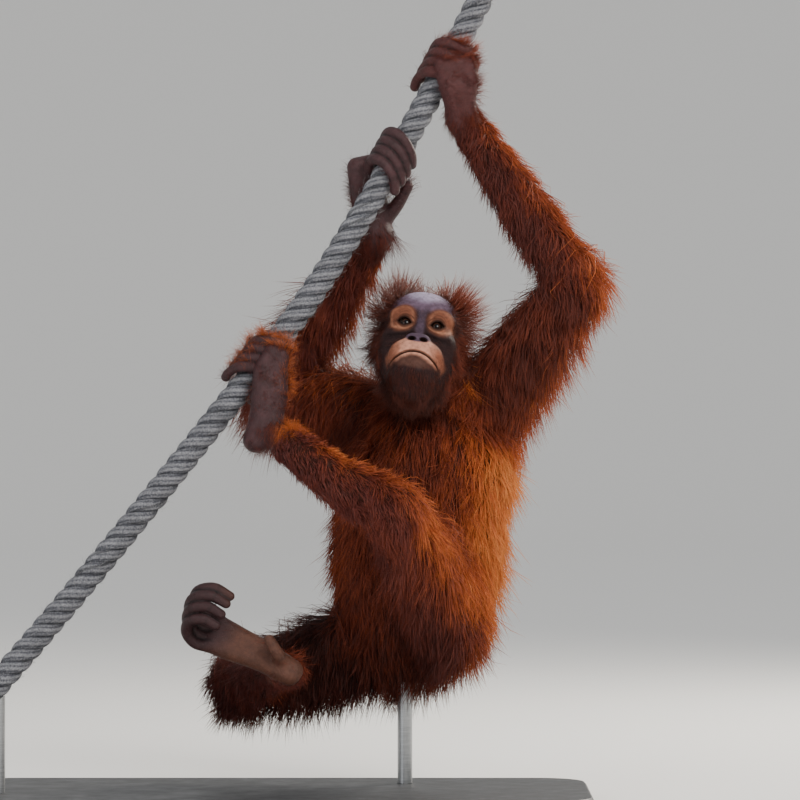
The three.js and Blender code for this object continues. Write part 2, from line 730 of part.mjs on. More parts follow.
// Root places on a loft: rows along it, some to each row, only where they face near enough to a favoured way
function rootsOn(name, { rows, around, from = 0, to = 1, favour = at(0, 0, 0), gain = 0, least = -2 }) {
  const roots = [];
  for (let i = 0; i < rows; i++)
    for (let j = 0; j < around; j++) {
      const share = from + ((to - from) * (i + between(0.3, 0.7))) / rows;
      const root = LOFTS[name].surface(share, (360 * (j + 0.5 * (i % 2) + between(-0.15, 0.15))) / around);
      const facing = root.normal.dot(favour);
      if (facing < least) continue;
      root.gain = 1 + gain * Math.max(0, facing);
      roots.push(root);
    }
  return roots;
}
const COATS = {
  torso: [
    { rows: 5, around: 8, from: 0.16, to: 0.97, favour: at(0, 1, 0), gain: 0.2, least: -0.8 },
    { length: 92, width: 42, lie: -1, hang: 0.6, lift: 0.25 },
  ],
  upper_arm_left: [
    { rows: 3, around: 5, from: 0.12, to: 0.95, favour: at(0.8, 0.3, -0.5), gain: 0.3, least: -0.8 },
    { length: 66, width: 34, lie: 0.2, hang: 0.9, lift: 0.36 },
  ],
  forearm_left: [
    { rows: 4, around: 5, from: 0.1, to: 0.8, favour: at(0.8, 0.4, 0.4), gain: 0.2, least: -0.3 },
    { length: 54, width: 32, lie: -0.7, hang: 0.7, lift: 0.3 },
  ],
  upper_arm_right: [
    { rows: 3, around: 5, from: 0.25, to: 0.98, favour: at(-0.3, 0, -0.9), gain: 0.6 },
    { length: 80, width: 34, lie: 0.4, hang: 0.9, lift: 0.2 },
  ],
  forearm_right: [
    { rows: 4, around: 5, from: 0.02, to: 0.8, favour: at(-0.8, 0.5, 0.1), gain: 0.3, least: -0.4 },
    { length: 66, width: 28, lie: -0.6, hang: 0.7, lift: 0.42 },
  ],
  thigh_left: [
    { rows: 3, around: 5, from: 0.08, to: 0.85, favour: at(0.3, 0.2, -0.9), gain: 0.4, least: -0.7 },
    { length: 66, width: 34, lie: 0.1, hang: 0.9, lift: 0.3 },
  ],
  thigh_right: [
    { rows: 3, around: 5, from: 0.12, to: 0.98, favour: at(-0.2, 0.3, -0.9), gain: 0.3, least: -0.7 },
    { length: 60, width: 32, lie: 0.3, hang: 0.7, lift: 0.25 },
  ],
  neck: [
    { rows: 1, around: 6, from: 0.4, to: 0.9, favour: at(0, 1, 0), least: -0.3 },
    { length: 50, width: 30, lie: -1, hang: 0.3, lift: 0.3 },
  ],
};
for (const [name, [places, style]] of Object.entries(COATS)) growCoat(name, rootsOn(name, places), style);

// Locks of the head: they stand off the crown, the sides and the back of it, away from the face
const HEAD_LOCKS = [
  { row: 58, turns: [-150, -90, 90, 150] },
  { row: 34, turns: [-120, -84, 84, 120, 180] },
  { row: 6, turns: [-96, -74, 74, 96] },
];
const headRoots = HEAD_LOCKS.flatMap(({ row, turns }) =>
  turns.map((turn) => {
    const out = at(cosd(row) * sind(turn), -cosd(row) * cosd(turn), sind(row));
    const point = headSurface(out).applyMatrix4(HEAD_PLACE);
    const normal = out.clone().transformDirection(HEAD_PLACE);
    const along = at(0, 0.8, sind(row) - 0.4).transformDirection(HEAD_PLACE);
    return { point, normal, along, gain: 1 };
  }),
);
growCoat("head", headRoots, { length: 50, width: 24, lie: 1, hang: 0.25, lift: 0.55 });

// Colours and finishes
const LOOK = {
  coat: { color: 0x9a4a22, roughness: 0.75 },
  coat_dark: { color: 0x6b3426, roughness: 0.75 },
  face: { color: 0x5a4442, roughness: 0.6 },
  skin: { color: 0x3f2e30, roughness: 0.6 },
  sole: { color: 0x8a6a58, roughness: 0.65 },
  eye: { color: 0x24140c, roughness: 0.12 },
  rope: { color: 0xa39c90, roughness: 0.9 },
  base: { color: 0x2f3133, roughness: 0.55 },
  rod: { color: 0x6f7376, roughness: 0.35, metalness: 0.9 },
};
const LOOK_OF = {
  rope: "rope",
  head: "face",
  eye_left: "eye",
  eye_right: "eye",
  ear_left: "skin",
  ear_right: "skin",
  forearm_left: "coat_dark",
  forearm_right: "coat_dark",
  shin_left: "coat_dark",
  shin_right: "coat_dark",
  hand_left: "skin",
  hand_right: "skin",
  foot_left: "skin",
  foot_right: "sole",
  stand_base: "base",
  stand_rod_body: "rod",
  stand_rod_rope: "rod",
};
const group = new THREE.Group();
group.name = "orangutan";
for (const [name, solid] of Object.entries(parts)) {
  const material = new THREE.MeshStandardMaterial(LOOK[LOOK_OF[name] ?? "coat"]);
  const mesh = new THREE.Mesh(geometryOf(solid), material);
  mesh.name = name;
  group.add(mesh);
}
export default group;
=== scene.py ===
# %% [markdown]
# # A young orangutan on a rope
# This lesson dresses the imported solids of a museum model: a young orangutan that hangs from a slanting
# rope by both hands and one foot, with a small stand below. The solids give the size and the place of
# everything. Here they get one smooth skin, wet dark eyes, long rust-red hair and a laid rope.

# %% Load the solids
import math

import bpy
import numpy as np
from mathutils import Matrix, Vector


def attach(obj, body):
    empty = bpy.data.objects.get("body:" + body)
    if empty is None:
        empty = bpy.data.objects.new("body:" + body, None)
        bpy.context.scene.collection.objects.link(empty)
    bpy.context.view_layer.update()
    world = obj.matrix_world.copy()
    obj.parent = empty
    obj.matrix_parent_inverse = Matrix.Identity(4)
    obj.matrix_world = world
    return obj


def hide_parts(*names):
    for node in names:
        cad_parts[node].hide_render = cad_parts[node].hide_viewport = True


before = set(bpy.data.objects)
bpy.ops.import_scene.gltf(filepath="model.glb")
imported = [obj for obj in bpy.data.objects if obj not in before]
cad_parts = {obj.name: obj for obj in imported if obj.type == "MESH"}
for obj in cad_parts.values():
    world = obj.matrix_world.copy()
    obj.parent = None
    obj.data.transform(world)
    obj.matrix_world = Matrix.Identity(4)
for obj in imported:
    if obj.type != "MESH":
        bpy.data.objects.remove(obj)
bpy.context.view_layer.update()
MM = 0.001

# %% [markdown]
# The camera stands level, some five and a half metres off, with a long lens, as the photograph was taken.
# It frames 960 mm across at the rope. A long lens keeps the limbs near the camera from looking large.

# %% Camera
VIEW_DISTANCE = 5.5
VIEW_WIDTH = 0.96
camera = bpy.data.objects.new("camera", bpy.data.cameras.new("camera"))
camera.data.sensor_width = 36
camera.data.lens = 36 * VIEW_DISTANCE / VIEW_WIDTH
camera.location = (0.152, -VIEW_DISTANCE, 0.485)
camera.rotation_euler = (math.radians(90), 0, 0)
bpy.context.scene.collection.objects.link(camera)
bpy.context.scene.camera = camera
print("lens", round(camera.data.lens, 1))

# %% [markdown]
# A plain pale floor that curves up far away on every side, like studio paper, and soft lamps. The
# strongest lamp is high at the right and a little behind, because in the photograph the light comes
# through the long hair from that side and makes it glow.

# %% Floor, lamps and background
FLAT_RADIUS, CURVE_RADIUS, SIDES = 10.0, 5.0, 96
profile = [(2.0, 0.0), (5.0, 0.0), (FLAT_RADIUS, 0.0)]
for turn in np.linspace(0.06, math.pi / 2, 20):
    profile.append((FLAT_RADIUS + CURVE_RADIUS * math.sin(turn), CURVE_RADIUS * (1 - math.cos(turn))))
corners = [
    (radius * math.cos(t), radius * math.sin(t), height)
    for radius, height in profile
    for t in np.linspace(0, 2 * math.pi, SIDES, endpoint=False)
]
faces = [tuple(range(SIDES))]
for ring in range(len(profile) - 1):
    for i in range(SIDES):
        a, b = ring * SIDES + i, ring * SIDES + (i + 1) % SIDES
        faces.append((a, a + SIDES, b + SIDES, b))
floor_mesh = bpy.data.meshes.new("floor")
floor_mesh.from_pydata(corners, [], faces)
for polygon in floor_mesh.polygons:
    polygon.use_smooth = True
floor = bpy.data.objects.new("floor", floor_mesh)
bpy.context.scene.collection.objects.link(floor)


def plain_material(name, colour, roughness):
    material = bpy.data.materials.new(name)
    material.use_nodes = True
    shader = material.node_tree.nodes["Principled BSDF"]
    shader.inputs["Base Color"].default_value = (*colour, 1)
    shader.inputs["Roughness"].default_value = roughness
    return material


floor_mesh.materials.append(plain_material("floor paper", (0.87, 0.86, 0.84), 0.9))


def lamp(name, place, aim, size, power, colour=(1, 1, 1)):
    light = bpy.data.lights.new(name, "AREA")
    light.size, light.energy, light.color = size, power, colour
    obj = bpy.data.objects.new(name, light)
    obj.location = place
    obj.rotation_euler = (Vector(aim) - Vector(place)).to_track_quat("-Z", "Y").to_euler()
    bpy.context.scene.collection.objects.link(obj)


MIDDLE = (0.15, 0, 0.5)
lamp("key lamp", (1.3, -2.2, 2.4), MIDDLE, 1.2, 75, (1, 0.97, 0.92))
lamp("back lamp", (1.9, 1.6, 1.7), MIDDLE, 0.9, 85, (1, 0.93, 0.82))
lamp("fill lamp", (-2.4, -2.4, 1.2), MIDDLE, 2.2, 28, (0.93, 0.96, 1))
world = bpy.data.worlds.new("studio")
world.use_nodes = True
world.node_tree.nodes["Background"].inputs["Color"].default_value = (0.86, 0.87, 0.88, 1)
world.node_tree.nodes["Background"].inputs["Strength"].default_value = 0.75
bpy.context.scene.world = world

# %% [markdown]
# ## The body's shape
# The skin is shaped as a field: at any point of space the field says how far the nearest flesh is, and
# the skin is where it is zero. Fields melt into each other, so a thigh grows out of the belly with no
# seam, which joined tubes can't do. The joints are the same as in the solids, in millimetres.

# %% The skeleton
JOINT = {
    "rump": (158, 86, 200),
    "pelvis": (168, 80, 232),
    "belly": (172, 68, 286),
    "waist": (178, 62, 346),
    "chest": (192, 66, 406),
    "collar": (198, 70, 452),
    "neck_base": (197, 64, 484),
    "neck_top": (191, 56, 508),
    "head": (176.4, 9.6, 554.4),
    "shoulder_left": (258, 60, 486),
    "elbow_left": (361, -24, 628),
    "wrist_left": (226, 22, 826),
    "shoulder_right": (136, 82, 468),
    "elbow_right": (-1, 180, 510),
    "wrist_right": (124, 50, 684),
    "hip_left": (208, 26, 232),
    "knee_left": (148, -102, 356),
    "ankle_left": (0, -42, 446),
    "hip_right": (140, 90, 200),
    "knee_right": (-47, 114, 142),
    "ankle_right": (14, -44, 162),
}
JOINT = {name: np.array(place, float) for name, place in JOINT.items()}
ROPE_LINE = [
    (-346.8, -57.6, 123.6),
    (-225.6, -36, 266.4),
    (-76.8, -16.8, 451.2),
    (40.8, 2.4, 604.8),
    (105.6, 15.6, 706.8),
    (177.6, 31.2, 832.8),
    (247.2, 45.6, 966),
    (260.4, 49.2, 992.4),
]
ROPE_RADIUS = 16
UP = np.array([0.0, 0.0, 1.0])


def unit(v):
    return v / np.maximum(np.linalg.norm(v, axis=-1, keepdims=True), 1e-9)


def smooth_line(points, steps):
    """Points on a smooth curve through the given ones (centripetal Catmull-Rom)."""
    p = np.array(points, float)
    p = np.vstack([2 * p[0] - p[1], p, 2 * p[-1] - p[-2]])
    out = []
    spans = len(points) - 1
    for s in np.linspace(0, spans, steps):
        i = min(int(s), spans - 1)
        p0, p1, p2, p3 = p[i : i + 4]
        t0 = 0.0
        t1 = t0 + np.linalg.norm(p1 - p0) ** 0.5
        t2 = t1 + np.linalg.norm(p2 - p1) ** 0.5
        t3 = t2 + np.linalg.norm(p3 - p2) ** 0.5
        t = t1 + (s - i) * (t2 - t1)
        a1 = (t1 - t) / (t1 - t0) * p0 + (t - t0) / (t1 - t0) * p1
        a2 = (t2 - t) / (t2 - t1) * p1 + (t - t1) / (t2 - t1) * p2
        a3 = (t3 - t) / (t3 - t2) * p2 + (t - t2) / (t3 - t2) * p3
        b1 = (t2 - t) / (t2 - t0) * a1 + (t - t0) / (t2 - t0) * a2
        b2 = (t3 - t) / (t3 - t1) * a2 + (t - t1) / (t3 - t1) * a3
        out.append((t2 - t) / (t2 - t1) * b1 + (t - t1) / (t2 - t1) * b2)
    return np.array(out)


class Limb:
    """A length of flesh: a smooth line with a half width and a half thickness along it."""

    def __init__(self, stations, across=(1, 0, 0), steps=12, blend=16):
        places = [s[0] for s in stations]
        self.line = smooth_line(places, steps) if len(places) > 2 else np.linspace(*places, steps)
        knots = np.linspace(0, 1, len(stations))
        share = np.linspace(0, 1, steps)
        self.wide = np.interp(share, knots, [s[1] for s in stations])
        self.thick = np.interp(share, knots, [s[-1] for s in stations])
        self.across = np.array(across, float)
        self.blend = blend
        self.share = share

    def distance(self, x, y, z):
        """Distance to the flesh's surface, below zero inside, for arrays of coordinates."""
        best = None
        for i in range(len(self.line) - 1):
            a, b = self.line[i], self.line[i + 1]
            d = b - a
            along = d / np.linalg.norm(d)
            side = unit(self.across - along * self.across.dot(along))
            rx, ry, rz = x - a[0], y - a[1], z - a[2]
            t = np.clip((rx * d[0] + ry * d[1] + rz * d[2]) / d.dot(d), 0, 1)
            rx, ry, rz = rx - t * d[0], ry - t * d[1], rz - t * d[2]
            thick = self.thick[i] + t * (self.thick[i + 1] - self.thick[i])
            spare = self.wide[i] + t * (self.wide[i + 1] - self.wide[i]) - thick
            s = rx * side[0] + ry * side[1] + rz * side[2]
            flat = np.maximum(np.abs(s) - spare, 0)
            dist = np.sqrt(np.maximum(rx * rx + ry * ry + rz * rz - s * s, 0) + flat * flat) - thick
            best = dist if best is None else np.minimum(best, dist)
        return best

    def box(self, margin):
        reach = max(self.wide.max(), self.thick.max()) + margin
        return self.line.min(0) - reach, self.line.max(0) + reach


def between(a, b, share, shift=(0, 0, 0)):
    return JOINT[a] * (1 - share) + JOINT[b] * share + np.array(shift, float)


LIMBS = {
    "torso": Limb(
        [
            (JOINT["rump"], 54, 46),
            (JOINT["pelvis"], 80, 62),
            (JOINT["belly"], 94, 74),
            (JOINT["waist"], 94, 72),
            (JOINT["chest"], 90, 64),
            (JOINT["collar"], 72, 48),
            (JOINT["neck_base"], 42, 36),
        ],
        steps=19,
    ),
    "neck": Limb([(JOINT["collar"], 40), (JOINT["neck_top"], 41)], steps=3),
    "upper_arm_left": Limb(
        [
            (JOINT["shoulder_left"], 35),
            (between("shoulder_left", "elbow_left", 0.5), 30),
            (JOINT["elbow_left"], 23),
        ]
    ),
    "upper_arm_right": Limb(
        [
            (JOINT["shoulder_right"], 35),
            (between("shoulder_right", "elbow_right", 0.5), 30),
            (JOINT["elbow_right"], 23),
        ]
    ),
    "forearm_left": Limb(
        [
            (JOINT["elbow_left"], 24),
            (between("elbow_left", "wrist_left", 0.35), 25, 22),
            (between("elbow_left", "wrist_left", 0.75), 20, 18),
            (JOINT["wrist_left"], 17, 14),
        ]
    ),
    "forearm_right": Limb(
        [
            (JOINT["elbow_right"], 24),
            (between("elbow_right", "wrist_right", 0.35), 25, 22),
            (between("elbow_right", "wrist_right", 0.75), 20, 17),
            (JOINT["wrist_right"], 17, 14),
        ]
    ),
    "thigh_left": Limb(
        [
            (JOINT["hip_left"], 44),
            (between("hip_left", "knee_left", 0.5), 36),
            (JOINT["knee_left"], 24),
        ],
        blend=22,
    ),
    "thigh_right": Limb(
        [
            (JOINT["hip_right"], 44),
            (between("hip_right", "knee_right", 0.5), 36),
            (JOINT["knee_right"], 24),
        ],
        blend=22,
    ),
    "shin_left": Limb(
        [
            (JOINT["knee_left"], 24),
            (between("knee_left", "ankle_left", 0.4, (-4, -6, -6)), 23),
            (JOINT["ankle_left"], 16),
        ]
    ),
    "shin_right": Limb(
        [
            (JOINT["knee_right"], 24),
            (between("knee_right", "ankle_right", 0.4), 22),
            (JOINT["ankle_right"], 16),
        ]
    ),
}
print("limbs:", ", ".join(LIMBS))

# %% [markdown]
# The field is sampled on a grid of small cubes. A surface net then puts one corner of the skin in every
# cube that the surface crosses and joins neighbours with four-sided faces, and each corner is slid along
# the field's slope until it sits on the surface. The result is one even, closed mesh.

# %% Fields on a grid
FAR = 60.0


class Field:
    """Distances to a shape on a grid of cubes with the given edge, all in millimetres."""

    def __init__(self, low, high, cell):
        self.low = np.array(low, float)
        self.cell = cell
        self.shape = tuple(np.ceil((np.array(high) - low) / cell).astype(int) + 1)
        self.values = np.full(self.shape, FAR, np.float32)

    def window(self, low, high):
        i = np.clip(((low - self.low) / self.cell).astype(int), 0, np.array(self.shape) - 1)
        j = np.clip(np.ceil((high - self.low) / self.cell).astype(int) + 1, i + 1, self.shape)
        axes = [self.low[k] + self.cell * np.arange(i[k], j[k], dtype=np.float32) for k in range(3)]
        slices = tuple(slice(i[k], j[k]) for k in range(3))
        return slices, (axes[0][:, None, None], axes[1][None, :, None], axes[2][None, None, :])

    def melt(self, shape, blend, box):
        """Adds a shape, rounding the crease where it meets what is there."""
        where, (x, y, z) = self.window(*box)
        a, b = self.values[where], shape(x, y, z)
        h = np.maximum(blend - np.abs(a - b), 0) / blend
        self.values[where] = np.minimum(a, b) - h * h * blend / 4

    def carve(self, shape, blend, box):
        """Takes a shape away, rounding the rim."""
        where, (x, y, z) = self.window(*box)
        a, b = self.values[where], -shape(x, y, z)
        h = np.maximum(blend - np.abs(a - b), 0) / blend
        self.values[where] = np.maximum(a, b) + h * h * blend / 4

    def read(self, points):
        """The field's value between the grid's corners."""
        g = np.clip((points - self.low) / self.cell, 0, np.array(self.shape) - 1.001)
        i = g.astype(int)
        f = g - i
        total = 0
        for dx in (0, 1):
            for dy in (0, 1):
                for dz in (0, 1):
                    weight = (
                        (f[:, 0] if dx else 1 - f[:, 0])
                        * (f[:, 1] if dy else 1 - f[:, 1])
                        * (f[:, 2] if dz else 1 - f[:, 2])
                    )
                    total = total + weight * self.values[i[:, 0] + dx, i[:, 1] + dy, i[:, 2] + dz]
        return total

    def slope(self, points):
        h = 0.6 * self.cell
        steps = np.eye(3) * h
        return unit(np.stack([self.read(points + s) - self.read(points - s) for s in steps], 1))

    def net(self, settle=3):
        """The surface as corner points and four-sided faces, wound outward."""
        v = self.values
        inside = v < 0
        count = np.zeros(np.array(self.shape) - 1, np.int8)
        corners = [(a, b, c) for a in (0, 1) for b in (0, 1) for c in (0, 1)]
        nx, ny, nz = self.shape
        for a, b, c in corners:
            count += inside[a : nx - 1 + a, b : ny - 1 + b, c : nz - 1 + c]
        crossed = (count > 0) & (count < 8)
        index = np.full(crossed.shape, -1, np.int64)
        index[crossed] = np.arange(crossed.sum())
        cells = np.argwhere(crossed)
        total = np.zeros((len(cells), 3))
        hits = np.zeros(len(cells))
        for start in corners:
            for axis in range(3):
                if start[axis]:
                    continue
                stop = np.array(start)
                stop[axis] = 1
                va = v[tuple((cells + start).T)]
                vb = v[tuple((cells + stop).T)]
                cut = (va < 0) != (vb < 0)
                t = va[cut] / (va[cut] - vb[cut])
                total[cut] += np.array(start) + t[:, None] * (stop - np.array(start))
                hits[cut] += 1
        points = self.low + self.cell * (cells + total / hits[:, None])
        faces = []
        for axis in range(3):
            one, two = (axis + 1) % 3, (axis + 2) % 3
            first = [slice(1, n - 1) for n in self.shape]
            first[axis] = slice(0, self.shape[axis] - 1)
            second = list(first)
            second[axis] = slice(1, self.shape[axis])
            a, b = inside[tuple(first)], inside[tuple(second)]
            for change, turn in ((a & ~b, 1), (~a & b, -1)):
                edge = np.argwhere(change)
                edge[:, one] += 1
                edge[:, two] += 1
                back_one = np.zeros(3, int)
                back_one[one] = 1
                back_two = np.zeros(3, int)
                back_two[two] = 1
                ring = [edge - back_one - back_two, edge - back_two, edge, edge - back_one]
                faces.append(np.stack([index[tuple(r.T)] for r in ring[::turn]], 1))
        for _ in range(settle):
            normal = self.slope(points)
            points = points - normal * np.clip(self.read(points), -self.cell, self.cell)[:, None]
        return points, np.vstack(faces)


def mesh_object(name, points, faces, material=None, smooth=True):
    """A mesh from arrays in millimetres; faces all have the same number of corners."""
    mesh = bpy.data.meshes.new(name)
    n, k = faces.shape
    mesh.vertices.add(len(points))
    mesh.vertices.foreach_set("co", (np.asarray(points, np.float32) * MM).ravel())
    mesh.loops.add(n * k)
    mesh.loops.foreach_set("vertex_index", faces.astype(np.int32).ravel())
    mesh.polygons.add(n)
    mesh.polygons.foreach_set("loop_start", np.arange(0, n * k, k, dtype=np.int32))
    mesh.polygons.foreach_set("loop_total", np.full(n, k, np.int32))
    mesh.polygons.foreach_set("use_smooth", np.full(n, smooth))
    mesh.update()
    mesh.validate()
    obj = bpy.data.objects.new(name, mesh)
    bpy.context.scene.collection.objects.link(obj)
    if material:
        mesh.materials.append(material)
    return obj


def paint(obj, layer, colours):
    """Stores one colour at each corner point of the mesh."""
    attribute = obj.data.attributes.new(layer, "FLOAT_COLOR", "POINT")
    full = np.ones((len(obj.data.vertices), 4), np.float32)
    full[:, :3] = colours
    attribute.data.foreach_set("color", full.ravel())


body = Field((-130, -180, 60), (420, 270, 900), 3.6)
for limb in LIMBS.values():
    body.melt(limb.distance, limb.blend, limb.box(30))
print("body grid", body.shape)

# %% [markdown]
# ## Hands and feet
# Each digit curls round the rope: its line is a piece of a circle about the rope's middle. The rope has
# its own directions at every place, one toward the viewer and one to the viewer's left.

# %% The rope's line and the digits
fine_rope = smooth_line(ROPE_LINE, 1401)
rope_run = np.concatenate([[0], np.cumsum(np.linalg.norm(np.diff(fine_rope, axis=0), axis=1))])
ROPE_LENGTH = rope_run[-1]


def rope_at(share):
    s = share * ROPE_LENGTH
    place = np.array([np.interp(s, rope_run, fine_rope[:, k]) for k in range(3)])
    ahead = np.array([np.interp(s + 2, rope_run, fine_rope[:, k]) for k in range(3)])
    behind = np.array([np.interp(s - 2, rope_run, fine_rope[:, k]) for k in range(3)])
    along = unit(ahead - behind)
    front = unit(np.array([0, -1, 0]) + along * along[1])
    left = unit(np.cross(front, along))
    return place, along, front, left if left[0] < 0 else -left


def beside_rope(share, shift, angle, distance):
    """A point beside the rope: angle 0 is toward the viewer, 90 to the viewer's left."""
    place, _, front, left = rope_at(share + shift / ROPE_LENGTH)
    turn = math.radians(angle)
    return place + distance * (front * math.cos(turn) + left * math.sin(turn))


def curled_digit(share, shift, start, stop, radius, bow=0, end=0, late=2):
    """A digit curled round the rope, thicker at its joints. It bows along the rope at its middle and ends
    further along it; late is how late that last shift comes in."""
    stations = []
    for f in np.linspace(0, 1, 13):
        r = radius * (1 - 0.22 * f) * (1 + 0.08 * math.cos(4 * math.pi * f))
        slide = bow * 4 * f * (1 - f) + end * f**late
        place = beside_rope(share, shift + slide, start + (stop - start) * f, ROPE_RADIUS + r + 0.9)
        stations.append((place, r))
    return Limb(stations, rope_at(share)[1], steps=22, blend=1.6)


FINGER_RADIUS, THUMB_RADIUS, TOE_RADIUS = 7.3, 6.6, 7
FINGER_PITCH, TOE_PITCH = 12.6, 12.6


def part_way(a, b, share):
    return np.array(a) * (1 - share) + np.array(b) * share


def hand_left():
    """The upper hand: fingers go over the front of the rope to its left side and bend down along it."""
    share, wrist = 0.893, JOINT["wrist_left"]
    knuckles = beside_rope(share, 0, -22, ROPE_RADIUS + 13)
    palm = [(wrist, 17, 14), (part_way(wrist, knuckles, 0.55) + (0, -8, 0), 23, 13), (knuckles, 27, 10)]
    digits = []
    for i in range(4):
        shift = (i - 1.4) * FINGER_PITCH
        digits.append(curled_digit(share, shift, -48, 112 + 6 * i, FINGER_RADIUS, end=-24, late=3))
    digits.append(curled_digit(share, -2.6 * FINGER_PITCH, -70, -150, THUMB_RADIUS, end=6))
    return [Limb(palm, (0.75, 0.1, 0.65), blend=12)], digits


def hand_right():
    """The lower hand: its palm lies behind the rope, the fingers come round over the front of it, and the
    thumb stands up at the right."""
    share, wrist = 0.755, JOINT["wrist_right"]
    knuckles = beside_rope(share, -8, 125, ROPE_RADIUS + 20)
    palm = [(wrist, 17, 14), (part_way(wrist, knuckles, 0.5) + (-1, 4, 0), 22, 14), (knuckles, 20, 12)]
    digits = []
    for i in range(4):
        shift = (i - 1.8) * FINGER_PITCH
        digits.append(curled_digit(share, shift, 150, -58 - 3 * i, FINGER_RADIUS, bow=24, end=3))
    thumb = [(wrist + (8, 2, 16), 9), (wrist + (25, -2, 38), 8), (wrist + (38, -12, 60), 6.2)]
    digits.append(Limb(thumb, (1, 0, 0), steps=14, blend=5))
    return [Limb(palm, (0.68, 0.1, 0.73), blend=12)], digits


def foot_left():
    """The foot on the rope: an upright sole in front of it, with the toes going left over it."""
    share, ankle = 0.5, JOINT["ankle_left"]
    sole = [
        (ankle + (-20, 2, -9), 15, 15),
        (ankle + (-8, 1, 18), 20, 15),
        (ankle + (-3, 3, 45), 22, 14),
        (ankle + (-2, 7, 72), 21, 12),
        (ankle + (5, 8, 94), 15, 10),
    ]
    digits = []
    for i in range(4):
        shift = (i - 1) * TOE_PITCH
        digits.append(curled_digit(share, shift, -38, 104 + 6 * i, TOE_RADIUS, end=-34, late=1.4))
    digits.append(curled_digit(share, -3.4 * TOE_PITCH, -52, -120, TOE_RADIUS, end=-6))
    return [Limb(sole, rope_at(share)[3], steps=16, blend=12)], digits


def foot_right():
    """The free foot: its sole faces up toward the viewer and its toes curl over like a fist."""
    heel = JOINT["ankle_right"] + (8, -18, 0)
    toe_root = np.array([-69.0, -46, 207])
    across = np.array([0.42, 0.3, 0.85])
    sole = [
        (heel, 16, 14),
        (part_way(heel, toe_root, 0.4) + (0, 2, 2), 19, 13),
        (part_way(heel, toe_root, 0.8) + (0, 2, 0), 23, 12),
        (toe_root, 24, 10),
    ]
    bends = [
        ((0, 0, 0), 7.6),
        ((-20, -4, 6), 7.2),
        ((-31, -12, 22), 7.2),
        ((-26, -27, 38), 6.8),
        ((-6, -36, 42), 6.6),
        ((13, -34, 32), 5.6),
    ]
    digits = []
    for i in range(4):
        root = toe_root + across * (i - 1.5) * 11.5
        reach = (0.8, 0.92, 1, 0.97)[i]
        digits.append(
            Limb([(root + np.array(place) * reach, r) for place, r in bends], across, steps=24, blend=1.6)
        )
    great = part_way(heel, toe_root, 0.3) + (21, -8, -3)
    thumb = [(great, 8.5), (great + (-10, -14, 14), 8), (great + (-18, -18, 29), 6.4)]
    digits.append(Limb(thumb, across, steps=14, blend=6))
    return [Limb(sole, across, steps=16, blend=12)], digits


def limb_end(name, share, spare):
    """The last part of a limb, a little thinner at its far end, so that it dives under the limb's skin."""
    limb = LIMBS[name]
    keep = limb.share >= share
    stations = list(zip(limb.line[keep], limb.wide[keep] + spare, limb.thick[keep] + spare))
    first = stations[0]
    stations[0] = (first[0], first[1] - 3, first[2] - 3)
    return Limb([(s[0], s[1], s[2]) for s in stations], limb.across, steps=8, blend=12)


HANDS = {
    "hand_left": (hand_left(), "forearm_left"),
    "hand_right": (hand_right(), "forearm_right"),
    "foot_left": (foot_left(), "shin_left"),
    "foot_right": (foot_right(), "shin_right"),
}
print("rope length", round(ROPE_LENGTH), "mm; digits:", sum(len(h[0][1]) for h in HANDS.values()))

# %% [markdown]
# Each hand and foot is a field of its own with small cubes, because skin this bare shows its shape. The
# forearm's end is part of it, so that the wrist has no seam. Shallow creases go round each digit.

# %% Shape the hands and feet
HAND_CELL = 1.5


def hand_field(name):
    (flats, digits), limb = HANDS[name]
    stub = limb_end(limb, 0.8, 0.5)
    limbs = [stub] + flats + digits
    boxes = [part.box(6) for part in limbs]
    field = Field(np.min([b[0] for b in boxes], 0), np.max([b[1] for b in boxes], 0), HAND_CELL)
    for part in limbs:
        field.melt(part.distance, part.blend, part.box(14))
    return field


hand_skins = {}
for name in HANDS:
    field = hand_field(name)
    points, faces = field.net()
    hand_skins[name] = (field, points, faces)
    print(name, len(faces), "faces")

# %% [markdown]
# ## The head
# The head is shaped in its own frame, with the face toward -Y. Smooth ellipsoids melt together: the
# skull, the muzzle, cheeks, brows and lids. Then the eye openings, nostrils, mouth line and ear cups are
# carved into it. At the end it is turned to its place, looking up and out.

# %% Shape the head
HEAD_FORMS = [
    # middle, radii, blend, whether it comes in a pair; a blend below zero carves
    ((0, 16, 11), (52, 60, 52), 0, False),
    ((5, 50, -32), (38, 43, 37), 14, False),
    ((0, -20, 22), (41, 34, 30), 14, False),
    ((0, -14, -50), (37, 42, 42), 18, False),
    ((30, -24, -28), (17, 26, 30), 12, True),
    ((0, -50, -50), (33, 33, 27), 12, False),
    ((0, -64, -46), (30, 20, 15), 8, False),
    ((0, -54, -72), (25, 24, 14), 8, False),
    ((0, -44, -86), (21, 20, 14), 10, False),
    ((20, -45, 10), (20, 11, 10), 12, True),
    ((21, -42, -17), (18, 15, 12), 14, True),
    ((23, -74, -4), (13, 9, 10), -14, True),
    ((0, -53, -12), (6, 8, 20), 8, False),
    ((0, -75, -31), (11, 6, 5), 8, False),
]
EYE_CENTRE = np.array([18.25, -48, -3])
EYE_RADIUS = 10
LID = 1.9
LIP_MIDDLE, LIP_DROP, MOUTH_HALF = -53, 11, 30
EAR_CENTRE = np.array([51, 18, -8])
HEAD_CELL = 1.25
head_turn = (
    Matrix.Rotation(math.radians(8), 3, "Y")
    @ Matrix.Rotation(math.radians(-2.5), 3, "Z")
    @ Matrix.Rotation(math.radians(-25), 3, "X")
)
HEAD_TURN = np.array(head_turn)


